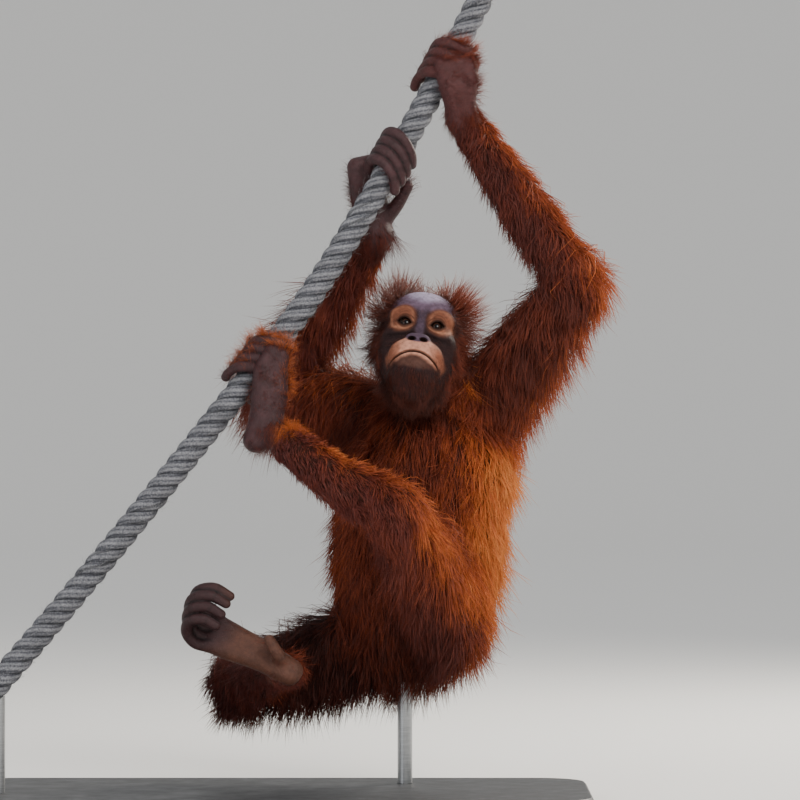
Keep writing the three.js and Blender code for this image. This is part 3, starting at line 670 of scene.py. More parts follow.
def ellipsoid(middle, radii):
    def distance(x, y, z):
        px, py, pz = (x - middle[0]) / radii[0], (y - middle[1]) / radii[1], (z - middle[2]) / radii[2]
        scaled = np.sqrt(px * px + py * py + pz * pz)
        steep = np.sqrt((px / radii[0]) ** 2 + (py / radii[1]) ** 2 + (pz / radii[2]) ** 2)
        return scaled * (scaled - 1) / np.maximum(steep, 1e-6)

    middle, reach = np.array(middle, float), np.array(radii, float)
    return distance, (middle - reach - 12, middle + reach + 12)


def mirrored(v, side):
    return np.array([side * v[0], v[1], v[2]], float)


head = Field((-68, -92, -112), (68, 98, 74), HEAD_CELL)
for middle, radii, blend, pair in HEAD_FORMS:
    for side in (1, -1) if pair else (1,):
        form, box = ellipsoid(mirrored(middle, side), radii)
        if blend == 0:
            everywhere = (head.low, head.low + HEAD_CELL * np.array(head.shape))
            where, axes = head.window(*everywhere)
            head.values[where] = form(*axes)
        elif blend > 0:
            head.melt(form, blend, box)
        else:
            head.carve(form, -blend, box)
for side in (1, -1):
    lid, box = ellipsoid(mirrored(EYE_CENTRE, side), [EYE_RADIUS + LID] * 3)
    head.melt(lid, 9, box)
print("head grid", head.shape)


def on_front(x, z):
    """The face's front surface at a place seen from ahead, found by walking in from the front."""
    y = np.full(np.shape(x), head.low[1] + 2.0)
    for _ in range(60):
        y = y + 0.8 * head.read(np.stack([x, y, z], -1).reshape(-1, 3)).reshape(np.shape(x))
    return np.stack([x, y, z], -1)

# %% [markdown]
# The carved details. A thin worm is a chain of short tubes laid on the face: one carves the line between
# the lips, others raise the lips' edges and the folds under the eyes. The eye opening is a pointed oval
# between the lids, cut straight back to the ball of the eye, and turned a little outward.

# %% Lids, lips, nostrils and ears
def worm(places, radii, blend, carve=False):
    line = Limb([(p, r) for p, r in zip(places, radii)], (0, 0, 1), steps=3 * len(places), blend=blend)
    (head.carve if carve else head.melt)(line.distance, blend, line.box(8))


EYE_TURN = math.radians(10)


def eye_outline(x, y, z):
    """How far a place lies outside the pointed oval between the lids, and how far behind its front."""
    dx, dy, dz = x - EYE_CENTRE[0], y - EYE_CENTRE[1], z - EYE_CENTRE[2]
    u = math.cos(EYE_TURN) * dx + math.sin(EYE_TURN) * dy
    v = -math.sin(EYE_TURN) * dx + math.cos(EYE_TURN) * dy
    curve = 1 - (u / 8.2) ** 2
    upper = dz - 0.1 - 0.1 * u - 5.0 * curve
    lower = 0.1 + 0.1 * u - 4.4 * curve - dz
    return np.maximum(upper, lower), v


def eye_opening(side):
    def distance(x, y, z):
        outline, behind = eye_outline(side * x, y, z)
        return np.maximum(outline * 0.75, behind + 1)

    middle = mirrored(EYE_CENTRE, side)
    return distance, (middle - (14, 40, 12), middle + (14, 4, 12))


lip_x = np.linspace(-MOUTH_HALF, MOUTH_HALF, 13)
lip_z = LIP_MIDDLE - LIP_DROP * (lip_x / MOUTH_HALF) ** 2
lip_line = on_front(lip_x, lip_z)
fade = np.sqrt(np.maximum(1 - (lip_x / (MOUTH_HALF + 3)) ** 2, 0))
upper_lip = on_front(lip_x, lip_z + 2.6) + (0, 1.1, 0)
lower_lip = on_front(lip_x, lip_z - 3.0) + (0, 0.8, 0)
worm(upper_lip, 1.2 + 1.0 * fade, 4)
worm(lower_lip, 1.2 + 1.4 * fade, 4)
worm(lip_line, 0.5 + 1.1 * fade, 1.6, carve=True)
for side in (1, -1):
    bag_x = side * np.linspace(8, 35, 9)
    bag_z = -17 - 5 * ((np.abs(bag_x) - 8) / 27) ** 1.4 - 2.5 * np.sin((np.abs(bag_x) - 8) / 27 * math.pi)
    worm(on_front(bag_x, bag_z), 0.9 + 0 * bag_x, 3.5, carve=True)
    worm(on_front(bag_x, bag_z + 4.2) + (0, 1.6, 0), 2.6 + 0 * bag_x, 6)
    arch_x = side * (EYE_CENTRE[0] + np.linspace(-9, 9.5, 9))
    arch_z = EYE_CENTRE[2] + 9.6 * np.sqrt(np.maximum(1 - ((np.abs(arch_x) - EYE_CENTRE[0]) / 10.5) ** 2, 0))
    worm(on_front(arch_x, arch_z), 0.6 + 0 * arch_x, 2.2, carve=True)
    ball, box = ellipsoid(mirrored(EYE_CENTRE, side), [EYE_RADIUS + 0.15] * 3)
    head.carve(ball, 0.5, box)
    opening, box = eye_opening(side)
    head.carve(opening, 1.0, box)
    wing, box = ellipsoid(mirrored((7.5, -75, -33), side), (5.5, 6, 5))
    head.melt(wing, 5, box)
    nostril_middle = on_front(np.array([side * 7.0]), np.array([-35.5]))[0]
    nostril, box = ellipsoid(nostril_middle, (4.6, 6, 2.7))
    head.carve(nostril, 1.2, box)
    ear, box = ellipsoid(mirrored(EAR_CENTRE, side), (9, 10, 14))
    head.melt(ear, 3, box)
    cup, box = ellipsoid(mirrored(EAR_CENTRE + (6, -4, 1), side), (6, 6, 9))
    head.carve(cup, 2, box)
head_points, head_faces = head.net()
print("head", len(head_faces), "faces")


def from_head(points):
    """From the head's own frame to the animal's."""
    return points @ HEAD_TURN.T + JOINT["head"]


# %% [markdown]
# ## Colours that follow the body
# Skin colour is worked out from the place on the body, and kept as a colour at each corner of the mesh.
# The face is dark plum brown with pale tan round the eyes and a pinkish upper lip. The sheen on top
# of the forehead is a painted highlight, and painted highlights and painted shade follow its creases.

# %% Skin colours
def srgb(r, g, b):
    c = np.array([r, g, b], float) / 255
    return np.where(c <= 0.04045, c / 12.92, ((c + 0.055) / 1.055) ** 2.4)


def blend_in(base, colour, amount):
    return base * (1 - amount[:, None]) + colour * amount[:, None]


def soft(value, edge, width):
    """1 where the value is well below the edge, 0 well above, with a soft step between."""
    t = np.clip((edge - value) / width + 0.5, 0, 1)
    return t * t * (3 - 2 * t)


def ripple(p, size, seed):
    """Smooth seeded noise made of a few waves, from -1 to 1."""
    rng = np.random.default_rng(seed)
    total = 0
    for k in range(7):
        way = unit(rng.normal(size=3)) * (0.7 + 0.6 * rng.random()) * 2 * math.pi / size
        total = total + np.sin(p @ way + rng.random() * 6.3)
    return total / 7 * 1.6


DARK_FACE = srgb(42, 26, 26)
PLUM = srgb(96, 78, 94)
PLUM_HIGHLIGHT = srgb(166, 154, 176)
TAN = srgb(118, 70, 52)
TAN_HIGHLIGHT = srgb(170, 116, 90)
LIP_PINK = srgb(190, 134, 112)
LIP_CORNER = srgb(130, 78, 58)
BAND = srgb(32, 19, 20)
LID_DARK = srgb(40, 21, 15)
HAND_SKIN = srgb(60, 36, 38)
SOLE_SKIN = srgb(84, 52, 40)
UNDERCOAT = srgb(60, 24, 12)
MAROON = srgb(98, 44, 40)


def face_colour(q):
    """The face's colour at points in the head's own frame, with painted highlights and painted shade."""
    x, y, z = np.abs(q[:, 0]), q[:, 1], q[:, 2]
    wobble = ripple(q, 14, 3)
    colour = np.tile(DARK_FACE, (len(q), 1))
    brow = soft(-z, -14 + 3 * wobble, 14) * soft(x, 34 + 4 * wobble, 22) * soft(y, 10, 20)
    colour = blend_in(colour, PLUM, brow)
    # Painted highlight: a pale sheen on the top of the forehead.
    crest_highlight = soft(np.hypot(x / 24, (z - 42) / 13), 0.9 + 0.12 * wobble, 1.0) * soft(y, 0, 20)
    colour = blend_in(colour, PLUM_HIGHLIGHT, crest_highlight * 0.9)
    # Painted highlight along the ridge of the nose, and painted shade in strips on its sides.
    bridge_highlight = soft(x, 6 + 1.5 * wobble, 6) * soft(-z, 40, 10) * soft(z, 16, 22) * soft(y, -30, 20)
    colour = blend_in(colour, PLUM * 0.62, bridge_highlight * 0.8)
    valley_shade = soft(np.abs(x - 7.5), 2.4, 4) * soft(-z, 22, 10) * soft(z, 16, 16) * soft(y, -30, 20)
    colour = blend_in(colour, DARK_FACE, valley_shade * 0.7)
    patch = np.sqrt(((x - 23.5) / 16.5) ** 2 + ((z - 2.5) / 20) ** 2) + 0.06 * wobble
    forward = soft(y, -20, 14)
    colour = blend_in(colour, TAN * 0.62, soft(patch, 1.02, 0.34) * forward)
    colour = blend_in(colour, TAN, soft(patch, 0.84, 0.36) * forward)
    # Painted highlight: a lighter ring round each patch, strongest on its lower half.
    rim = soft(np.abs(patch - 0.78), 0.08, 0.2) * forward * (0.35 + 0.65 * soft(z, 0, 14))
    colour = blend_in(colour, TAN_HIGHLIGHT, rim * 0.8)
    outline, _ = eye_outline(x, y, z)
    ahead = soft(y, -34, 8)
    # Painted shade in rings of wrinkles round each eye.
    wrinkle_shade = (0.5 + 0.5 * np.cos(1.5 * outline + 0.8 * wobble)) * soft(patch, 0.95, 0.3) * ahead
    colour = colour * (1 - 0.3 * wrinkle_shade * soft(outline, 13, 8))[:, None]
    # Darker near the opening: the lids' own darker skin and painted shade; then a painted highlight on the
    # lower lid's rim.
    colour = blend_in(colour, TAN * 0.36, soft(outline, 5.2, 5) * ahead * 0.75)
    colour = blend_in(colour, TAN_HIGHLIGHT, soft(np.abs(outline - 5.4), 0.6, 1.4) * soft(z, -6, 6) * ahead * 0.5)
    colour = blend_in(colour, LID_DARK, soft(outline, 2.3, 2.4) * ahead)
    # Painted shade in the crease carved over each eye.
    arch = np.hypot((x - EYE_CENTRE[0]) / 10.5, (z - EYE_CENTRE[2]) / 9.6)
    colour = blend_in(colour, TAN * 0.35, soft(np.abs(arch - 1), 0.08, 0.14) * soft(-z, 0, 6) * ahead * 0.7)
    # Painted shade in the crease carved under each eye bag.
    bag = -17 - 5 * (np.clip(x - 8, 0, 30) / 27) ** 1.4 - 2.5 * np.sin(np.clip((x - 8) / 27, 0, 1) * math.pi)
    fold_shade = soft(np.abs(z - bag + 0.5), 3.2, 4) * soft(x, 40, 8) * soft(-x, -6, 4) * 0.9
    colour = blend_in(colour, BAND, fold_shade)
    muzzle = np.sqrt((x / 35) ** 2 + ((z + 52) / 19) ** 2) + 0.04 * wobble
    line = LIP_MIDDLE - LIP_DROP * (x / MOUTH_HALF) ** 2
    lip = soft(muzzle, 1, 0.24) * soft(y, -40, 12) * (1 - 0.88 * soft(z - line, -4.5 + wobble, 5))
    tone = blend_in(np.tile(LIP_PINK, (len(q), 1)), LIP_CORNER, soft(-x, -21 + 3 * wobble, 16))
    colour = colour * (1 - lip[:, None]) + tone * lip[:, None]
    # Painted shade in the slit carved between the lips.
    mouth_shade = soft(np.abs(z - line), 1.3, 1.4) * soft(x, MOUTH_HALF + 1, 2) * soft(y, -40, 8)
    colour = blend_in(colour, LID_DARK * 0.8, mouth_shade)
    nose = np.sqrt((x / 15) ** 2 + ((z + 33) / 7) ** 2)
    colour = blend_in(colour, PLUM * 0.66, soft(nose, 1, 0.3) * soft(y, -50, 10))
    # Painted shade inside the nostrils.
    inside = np.sqrt(((x - 7) / 5.2) ** 2 + ((z + 35.5) / 3.2) ** 2)
    colour = blend_in(colour, LID_DARK * 0.35, soft(inside, 1, 0.35) * soft(y, -55, 8))
    hairy = soft(-y, -2, 16)
    colour = blend_in(colour, UNDERCOAT, hairy)
    return colour * (1 + 0.10 * ripple(q, 5, 8)[:, None] + 0.06 * wobble[:, None])


def head_hair(q):
    """How hairy the head is at points in its own frame: 0 on the face, 1 under the long hair."""
    x, y, z = np.abs(q[:, 0]), q[:, 1], q[:, 2]
    oval = np.sqrt((x / (41 - 0.16 * np.clip(z, 0, 60))) ** 2 + ((z + 20) / 78) ** 2)
    behind = (y + 36 - 0.6 * np.clip(z, 0, 80)) / 22
    return np.clip(np.maximum((oval - 1) * 5, behind), 0, 1)


# %% [markdown]
# ## Materials
# Skin needs more than a colour: fine creases crossing each other, larger soft mottling, and a gloss that
# is uneven. All of it is computed from the place on the object, so it wraps round with no image.

# %% Skin material
class Nodes:
    """A short way to build a material's node tree."""

    def __init__(self, name):
        self.material = bpy.data.materials.new(name)
        self.material.use_nodes = True
        self.tree = self.material.node_tree
        self.shader = self.tree.nodes["Principled BSDF"]

    def add(self, kind, values=None, **settings):
        node = self.tree.nodes.new("ShaderNode" + kind)
        for key, value in settings.items():
            setattr(node, key, value)
        for key, value in (values or {}).items():
            node.inputs[key].default_value = value
        return node

    def link(self, out, to, key):
        self.tree.links.new(out, to.inputs[key])

    def noise(self, scale, detail=3, roughness=0.55, where=None):
        node = self.add("TexNoise", {"Scale": scale, "Detail": detail, "Roughness": roughness})
        self.link(where or self.place(), node, "Vector")
        return node.outputs["Fac"]

    def place(self):
        return self.add("TexCoord").outputs["Object"]

    def span(self, value, low, high, to_low, to_high):
        node = self.add(
            "MapRange", {"From Min": low, "From Max": high, "To Min": to_low, "To Max": to_high}
        )
        self.link(value, node, "Value")
        return node.outputs["Result"]

    def math(self, operation, a, b=0):
        node = self.add("Math", operation=operation)
        for i, value in enumerate((a, b)):
            if isinstance(value, (int, float)):
                node.inputs[i].default_value = value
            else:
                self.tree.links.new(value, node.inputs[i])
        return node.outputs["Value"]

    def tint(self, colour, factor):
        """A colour multiplied by a grey factor."""
        node = self.add("VectorMath", operation="SCALE")
        self.tree.links.new(colour, node.inputs[0])
        self.link(factor, node, "Scale")
        return node.outputs["Vector"]

    def bump(self, height, strength, distance):
        node = self.add("Bump", {"Strength": strength, "Distance": distance})
        self.link(height, node, "Height")
        self.link(node.outputs["Normal"], self.shader, "Normal")


def skin_material(name, roughness, crease_scale, depth, gloss=0.3):
    n = Nodes(name)
    colour = n.add("Attribute", attribute_name="skin colour").outputs["Color"]
    mottle = n.span(n.noise(220, 4), 0.3, 0.7, 0.8, 1.2)
    n.link(n.tint(colour, mottle), n.shader, "Base Color")
    n.link(n.span(n.noise(500, 2), 0.3, 0.7, roughness - 0.1, roughness + 0.12), n.shader, "Roughness")
    cells = n.add("TexVoronoi", {"Scale": crease_scale}, feature="DISTANCE_TO_EDGE")
    n.link(n.place(), cells, "Vector")
    creases = n.span(cells.outputs["Distance"], 0, 0.12, 0, 1)
    n.bump(n.math("ADD", creases, n.noise(1400, 3)), 0.55, depth)
    n.shader.inputs["Specular IOR Level"].default_value = gloss
    return n.material


face_skin = skin_material("face skin", 0.6, 520, 0.0004, 0.12)
hand_skin = skin_material("hand skin", 0.5, 380, 0.0006)
body_skin = skin_material("body skin", 0.7, 300, 0.0005)

# %% [markdown]
# ## The skins
# The head, the hands and feet, and the body each become one mesh with its own colour at every corner.
# Where two of them meet, one dives under the other inside the coat, so that no seam shows. The creases
# between the digits and across their joints are darker: painted shade.

# %% Make the skins
def along_limb(limb, points):
    """Nearest share of a limb, the way it runs there, the angle round it and the distance to its skin."""
    best = np.full(len(points), 1e9)
    share = np.zeros(len(points))
    way = np.zeros((len(points), 3))
    angle = np.zeros(len(points))
    for i in range(len(limb.line) - 1):
        a, b = limb.line[i], limb.line[i + 1]
        d = b - a
        along = unit(d)
        side = unit(limb.across - along * limb.across.dot(along))
        front = np.cross(along, side)
        rel = points - a
        t = np.clip(rel @ d / d.dot(d), 0, 1)
        out = rel - t[:, None] * d
        thick = limb.thick[i] + t * (limb.thick[i + 1] - limb.thick[i])
        spare = limb.wide[i] + t * (limb.wide[i + 1] - limb.wide[i]) - thick
        s = out @ side
        flat = np.maximum(np.abs(s) - spare, 0)
        dist = np.sqrt(np.maximum((out * out).sum(1) - s * s, 0) + flat * flat) - thick
        near = dist < best
        best = np.where(near, dist, best)
        share = np.where(near, (i + t) / (len(limb.line) - 1), share)
        way[near] = along
        angle = np.where(near, np.arctan2(out @ front, s), angle)
    return best, share, way, angle


FLESH = [name for name in LIMBS] + ["head", "ear_left", "ear_right", *HANDS]


def add_piece(obj, replaces=()):
    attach(obj, "root")
    if replaces:
        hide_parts(*replaces)


head_skin = mesh_object("head_skin", from_head(head_points), head_faces, face_skin)
paint(head_skin, "skin colour", face_colour(head_points))
add_piece(head_skin, ["head", "ear_left", "ear_right"])

body_points, body_faces = body.net()
body_skin_piece = mesh_object("body_skin", body_points, body_faces, body_skin)
paint(body_skin_piece, "skin colour", UNDERCOAT * (1 + 0.15 * ripple(body_points, 40, 5)[:, None]))
add_piece(body_skin_piece, list(LIMBS))


CREASES = (0.3, 0.335, 0.37, 0.6, 0.63, 0.66, 0.84, 0.86)


def hand_colour(name, points):
    base = SOLE_SKIN if name == "foot_right" else HAND_SKIN
    colour = np.tile(base, (len(points), 1)) * (1 + 0.22 * ripple(points, 16, 4)[:, None])
    if name == "hand_left":
        colour = 0.4 * colour + 0.35 * MAROON
    if name == "foot_right":
        toes = np.linalg.norm(points - (-95, -62, 235), axis=1)
        colour = blend_in(colour, HAND_SKIN * 0.8, soft(toes, 56, 34))
    found = [along_limb(digit, points) for digit in HANDS[name][0][1]]
    depth = np.stack([f[0] for f in found])
    order = np.sort(depth, axis=0)
    share = np.take_along_axis(np.stack([f[1] for f in found]), depth.argmin(0)[None], 0)[0]
    # Painted shade between the digits and in the creases across their joints.
    between = soft(order[1] - order[0], 2.2, 3) * soft(order[1], 4, 4)
    knuckle_shade = sum(soft(np.abs(share - at), 0.007, 0.012) for at in CREASES) * soft(order[0], 1.2, 1)
    crease_shade = 1 - 0.6 * between - 0.35 * np.clip(knuckle_shade, 0, 1)
    return colour * crease_shade[:, None]


for name, (field, points, faces) in hand_skins.items():
    obj = mesh_object(name + "_skin", points, faces, hand_skin)
    paint(obj, "skin colour", hand_colour(name, points))
    add_piece(obj, [name])
print("body", len(body_faces), "faces; flesh nodes", len(FLESH))

# %% [markdown]
# ## The eyes
# Each eye is a ball with a slightly raised, clear cornea. The brown iris and the black pupil look up and
# a little to the animal's left, as in the photograph, and the wet surface catches the lamps.

# %% Eyes
GAZE = unit(np.array([0.06, -0.98, -0.04]))


def eye_material():
    n = Nodes("eye")
    toward = n.add("Attribute", attribute_name="gaze angle").outputs["Fac"]
    streaks = n.span(n.noise(900, 4), 0.3, 0.7, 0.6, 1.4)
    ramp = n.add("ValToRGB")
    n.link(n.span(toward, 0, 60, 0, 1), ramp, "Fac")
    stops = ramp.color_ramp.elements
    stops[0].position, stops[0].color = 0, (0.002, 0.002, 0.003, 1)
    stops[1].position, stops[1].color = 1, (0.05, 0.03, 0.022, 1)
    for position, colour in (
        (0.24, (0.002, 0.002, 0.003, 1)),
        (0.27, (0.03, 0.010, 0.005, 1)),
        (0.52, (0.014, 0.006, 0.003, 1)),
        (0.62, (0.004, 0.002, 0.002, 1)),
        (0.74, (0.02, 0.012, 0.009, 1)),
    ):
        stop = stops.new(position)
        stop.color = colour
    n.link(n.tint(ramp.outputs["Color"], streaks), n.shader, "Base Color")
    n.shader.inputs["Roughness"].default_value = 0.05
    n.shader.inputs["Specular IOR Level"].default_value = 0.22
    return n.material


eye_look = eye_material()
eye_world = {}
for name, side in (("eye_left", 1), ("eye_right", -1)):
    rings, around = 48, 64
    polar = np.linspace(0, math.pi, rings + 1)[1:-1]
    turn = np.linspace(0, 2 * math.pi, around, endpoint=False)
    axis_u = unit(np.cross(GAZE, UP))
    axis_v = np.cross(axis_u, GAZE)
    cornea = 0.55 * np.clip(1 - (np.degrees(polar) / 34) ** 2, 0, 1)
    radius = EYE_RADIUS - 0.6 + cornea
    ring = np.cos(turn)[None, :, None] * axis_u + np.sin(turn)[None, :, None] * axis_v
    shell = radius[:, None, None] * (
        np.cos(polar)[:, None, None] * GAZE + np.sin(polar)[:, None, None] * ring
    )
    points = np.vstack([shell.reshape(-1, 3), GAZE * radius[0], -GAZE * radius[-1]])
    grid = np.arange((rings - 1) * around).reshape(rings - 1, around)
    quads = np.stack(
        [grid[:-1], grid[1:], np.roll(grid[1:], -1, 1), np.roll(grid[:-1], -1, 1)], -1
    ).reshape(-1, 4)
    front, back = len(points) - 2, len(points) - 1
    caps = [(front, grid[0, i], grid[0, (i + 1) % around]) for i in range(around)]
    caps += [(back, grid[-1, (i + 1) % around], grid[-1, i]) for i in range(around)]
    triangles = np.vstack([quads[:, [0, 1, 2]], quads[:, [0, 2, 3]], np.array(caps)])
    middle = mirrored(EYE_CENTRE, side)
    eye_world[name] = from_head(middle[None])[0]
    obj = mesh_object(name + "_ball", from_head(points + middle), triangles, eye_look)
    angle = np.degrees(np.arccos(np.clip(unit(points) @ GAZE, -1, 1)))
    attribute = obj.data.attributes.new("gaze angle", "FLOAT", "POINT")
    attribute.data.foreach_set("value", angle.astype(np.float32))
    add_piece(obj, [name])
print("eyes at", {k: v.round(1).tolist() for k, v in eye_world.items()})

# %% [markdown]
# ## The coat
# An orangutan's hair is long and thin, and it hangs. Each tuft is a thin, closed, tapering strand that
# grows out of the skin, follows the lie of the coat and then sags. The lie comes from the limbs: along
# the upper arm it runs toward the elbow, along the forearm back toward the elbow, and gravity does the
# rest. A table holds the style of each part of the body. One scale of tones runs from dark brown
# through rust and orange to gold. Light and shade are painted on this scale: the coat is painted warmest
# where it faces up and to the animal's left, toward the light, and on that flank, and darker as painted
# shade low on the trunk, under the chin and in the fold between thigh and belly.

# %% How the coat lies on each part, and its colours
DOWN = np.array([0.0, 0, -1])
TONES = np.array(
    [srgb(44, 18, 12), srgb(96, 38, 22), srgb(150, 64, 32), srgb(204, 102, 40), srgb(228, 146, 76)]
)


def coat_tone(warmth):
    """The coat's colour, from dark brown at 0 through rust and orange to gold at 1."""
    spot = np.clip(warmth, 0, 1) * (len(TONES) - 1)
    low = np.minimum(spot.astype(int), len(TONES) - 2)
    part = (spot - low)[:, None]
    return TONES[low] * (1 - part) + TONES[low + 1] * part


DEEP, RUST, ORANGE = coat_tone(np.array([0.22, 0.5, 0.75]))
LIT_SIDE = unit(np.array([0.85, 0.2, 0.45]))
THROAT = np.array([[0.0, -30, -98]])

# length in mm and the share it gains on the side that faces the favoured way, lie along the limb, pull
# of gravity, lift off the skin, number of strands, warmth and how much maroon is mixed in
# A lower warmth on parts that lie in shade is partly painted shade.
STYLE_KEYS = ("length", "gain", "favour", "lie", "hang", "lift", "strands", "warm", "maroon")
STYLE_ROWS = {
    "torso": (46, 0.6, (0.3, 0.8, -0.2), -1, 0.6, 0.28, 18000, 0.31, 0.05),
    "neck": (36, 0.3, (0, 1, 0), -1, 0.3, 0.35, 2500, 0.2, 0.2),
    "upper_arm_left": (52, 0.3, (0.8, 0.3, -0.5), 0.2, 0.9, 0.34, 7000, 0.14, 0.1),
    "upper_arm_right": (56, 0.5, (-0.3, 0, -0.9), 0.4, 0.9, 0.28, 5300, 0.22, 0.1),
    "forearm_left": (36, 0.25, (0.8, 0.4, 0.4), -0.7, 0.6, 0.3, 7500, 0.1, 0.4),
    "forearm_right": (50, 0.6, (-0.5, 0.8, 0.1), -0.6, 0.6, 0.48, 5800, 0.22, 0.7),
    "thigh_left": (46, 0.5, (0.3, 0.2, -0.9), 0.1, 0.9, 0.28, 7000, 0.14, 0.35),
    "thigh_right": (48, 0.4, (-0.2, 0.3, -0.9), 0.3, 0.7, 0.28, 6000, 0.13, 0.1),
    "shin_left": (20, 0.8, (0, 0.3, -1), -0.6, 0.4, 0.3, 5500, 0.2, 0.7),
    "shin_right": (24, 0.5, (0, 0.3, -1), -0.4, 0.5, 0.3, 4000, 0.2, 0.5),
}
STYLE = {name: dict(zip(STYLE_KEYS, row)) for name, row in STYLE_ROWS.items()}


# %% [markdown]
# Roots are drawn at random over the skin's faces, more where a face is larger or the coat denser, with
# a fixed seed. Neighbours on the body share their style, so that no border shows at a joint.

# %% Roots on the skin
def scatter(points, faces, weight, count, rng):
    """Random places on a mesh of quads, and their faces' normals."""
    a, b, c, d = (points[faces[:, k]] for k in range(4))
    cross = np.cross(c - a, d - b)
    area = np.linalg.norm(cross, axis=1) * weight
    pick = rng.choice(len(faces), count, p=area / area.sum())
    u, v = rng.random((2, count, 1))
    place = (a[pick] * (1 - u) + b[pick] * u) * (1 - v) + (d[pick] * (1 - u) + c[pick] * u) * v
    return place, pick


def to_head(points):
    return (points - JOINT["head"]) @ HEAD_TURN


def clear_of_body(points, clearance):
    """Pushes points out of the body, the head and the rope until they stand clear."""
    for field, into, back in (
        (body, lambda p: p, lambda v: v),
        (head, to_head, lambda v: v @ HEAD_TURN.T),
    ):
        local = into(points)
        high = field.low + field.cell * (np.array(field.shape) - 1)
        near = np.all((local > field.low) & (local < high), axis=1)
        for _ in range(2):
            inside = local[near]
            short = clearance[near] - field.read(inside)
            push = field.slope(inside) * np.clip(short, 0, 30)[:, None]
            local[near] = inside + push
            points[near] = points[near] + back(push)
    nearest = np.full(len(points), 1e9)
    away = np.zeros_like(points)
    for k in range(0, len(fine_rope), 8):
        d = points - fine_rope[k]
        length = (d * d).sum(1)
        closer = length < nearest
        nearest = np.where(closer, length, nearest)
        away[closer] = d[closer]
    nearest = np.sqrt(nearest)
    short = np.clip(ROPE_RADIUS + 1.5 - nearest, 0, None)
    return points + away / np.maximum(nearest, 1)[:, None] * short[:, None]


body_centres = body_points[body_faces].mean(1)
near_limbs = {name: along_limb(limb, body_centres) for name, limb in LIMBS.items()}
closest = np.stack([near_limbs[name][0] for name in LIMBS])
owner = closest.argmin(0)
a, b, c, d = (body_points[body_faces[:, k]] for k in range(4))
face_area = 0.5 * np.linalg.norm(np.cross(c - a, d - b), axis=1)
weight = np.zeros(len(body_faces))
for i, name in enumerate(LIMBS):
    own = owner == i
    weight[own] = STYLE[name]["strands"] / face_area[own].sum()
covered = head.read(to_head(body_centres)) < -1
for name, (field, _, _) in hand_skins.items():
    high = field.low + field.cell * (np.array(field.shape) - 1)
    near = np.all((body_centres > field.low) & (body_centres < high), axis=1)
    covered[near] |= field.read(body_centres[near]) < -0.5
weight[covered] = 0
print("faces under the head and hands:", int(covered.sum()))

# %% [markdown]
# A strand is a short chain of steps. Its way starts along the lie with a little lift, and gravity turns
# it down. Strands near each other lean to a common guide toward their tips, which makes the loose locks
# of real hair. Points that would enter the body, the head or the rope are pushed out.

# %% Grow strands
def mixed_style(points):
    """The style at each point, mixed from the limbs near it."""
    info = {name: along_limb(LIMBS[name], points) for name in LIMBS}
    pull = {name: np.exp(-np.clip(info[name][0], -5, 80) / 9) for name in LIMBS}
    total = sum(pull.values())
    mix = {key: 0 for key in ("length", "lift", "hang", "warm", "maroon", "flow")}
    for name in LIMBS:
        share = pull[name] / total
        style = STYLE[name]
        for key in ("length", "lift", "hang", "warm", "maroon"):
            mix[key] = mix[key] + share * style[key]
        mix["flow"] = mix["flow"] + (share * style["lie"])[:, None] * info[name][2]
    return mix, info


def warmth(points, normals, warm):
    """Warmth of the coat at each root: its limb's own, painted light on the side it faces and the flank, and
    painted shade on the trunk.
    """
    # Painted light: warmer where the coat faces the light and on the lit flank.
    painted_glow = np.clip(normals @ LIT_SIDE, 0, 1) ** 0.8
    trunk = soft(along_limb(LIMBS["torso"], points)[0], 25, 40)
    lit_flank = trunk * soft(-points[:, 0], -238, 80)
    # Painted shade low on the trunk, under the chin and in the fold between thigh and belly.
    seat = soft(points[:, 2], 250, 90)
    throat = soft(np.linalg.norm(points - from_head(THROAT), axis=1), 52, 44)
    apart = along_limb(LIMBS["thigh_left"], points)[0] - along_limb(LIMBS["torso"], points)[0]
    fold_shade = soft(np.abs(apart), 9, 14) * soft(points[:, 1], 0, 60) * soft(points[:, 2], 470, 60)
    shade = 0.14 * seat + 0.3 * throat + 0.26 * fold_shade
    return warm + 0.45 * painted_glow + 0.2 * lit_flank - shade + 0.09 * ripple(points, 60, 17)


def strands(roots, normals, flow, length, lift, hang, rings, rng, curl=0.36, clump=0.38, clump_size=11):
    """The middle lines of strands, one row of points each."""
    flow = unit(flow - normals * (flow * normals).sum(1, keepdims=True))
    n = len(roots)
    way = unit(flow + normals * lift[:, None])
    waver = np.stack([ripple(roots, 22, k) for k in (11, 12, 13)], 1)
    own = rng.normal(size=(n, 3))
    line = [roots - normals * 2.5]
    step = length / (rings - 0.5)
    place = roots - normals * 2.5
    for k in range(1, rings + 1):
        t = k / rings
        turn = waver * curl * 1.6 + own * curl * 0.7
        own_way = way * (1 - 0.55 * t * hang[:, None])
        heading = unit(own_way + DOWN * (0.9 * t * hang[:, None]) + turn * (0.3 + t))
        place = place + heading * step[:, None]
        line.append(place)
    line = np.stack(line, 1)
    if clump > 0:
        cell = np.floor(roots / clump_size + 0.35 * waver).astype(np.int64)
        key = cell[:, 0] * 73856093 ^ cell[:, 1] * 19349663 ^ cell[:, 2] * 83492791
        _, group = np.unique(key, return_inverse=True)
        count = np.bincount(group)
        for k in range(1, rings + 1):
            share = clump * (k / rings) ** 1.3
            middle = np.stack([np.bincount(group, line[:, k, j]) / count for j in range(3)], 1)
            line[:, k] = line[:, k] * (1 - share) + middle[group] * share
    for k in range(1, rings + 1):
        line[:, k] = clear_of_body(line[:, k].copy(), np.full(n, 0.6 + 0.8 * k))
    return line


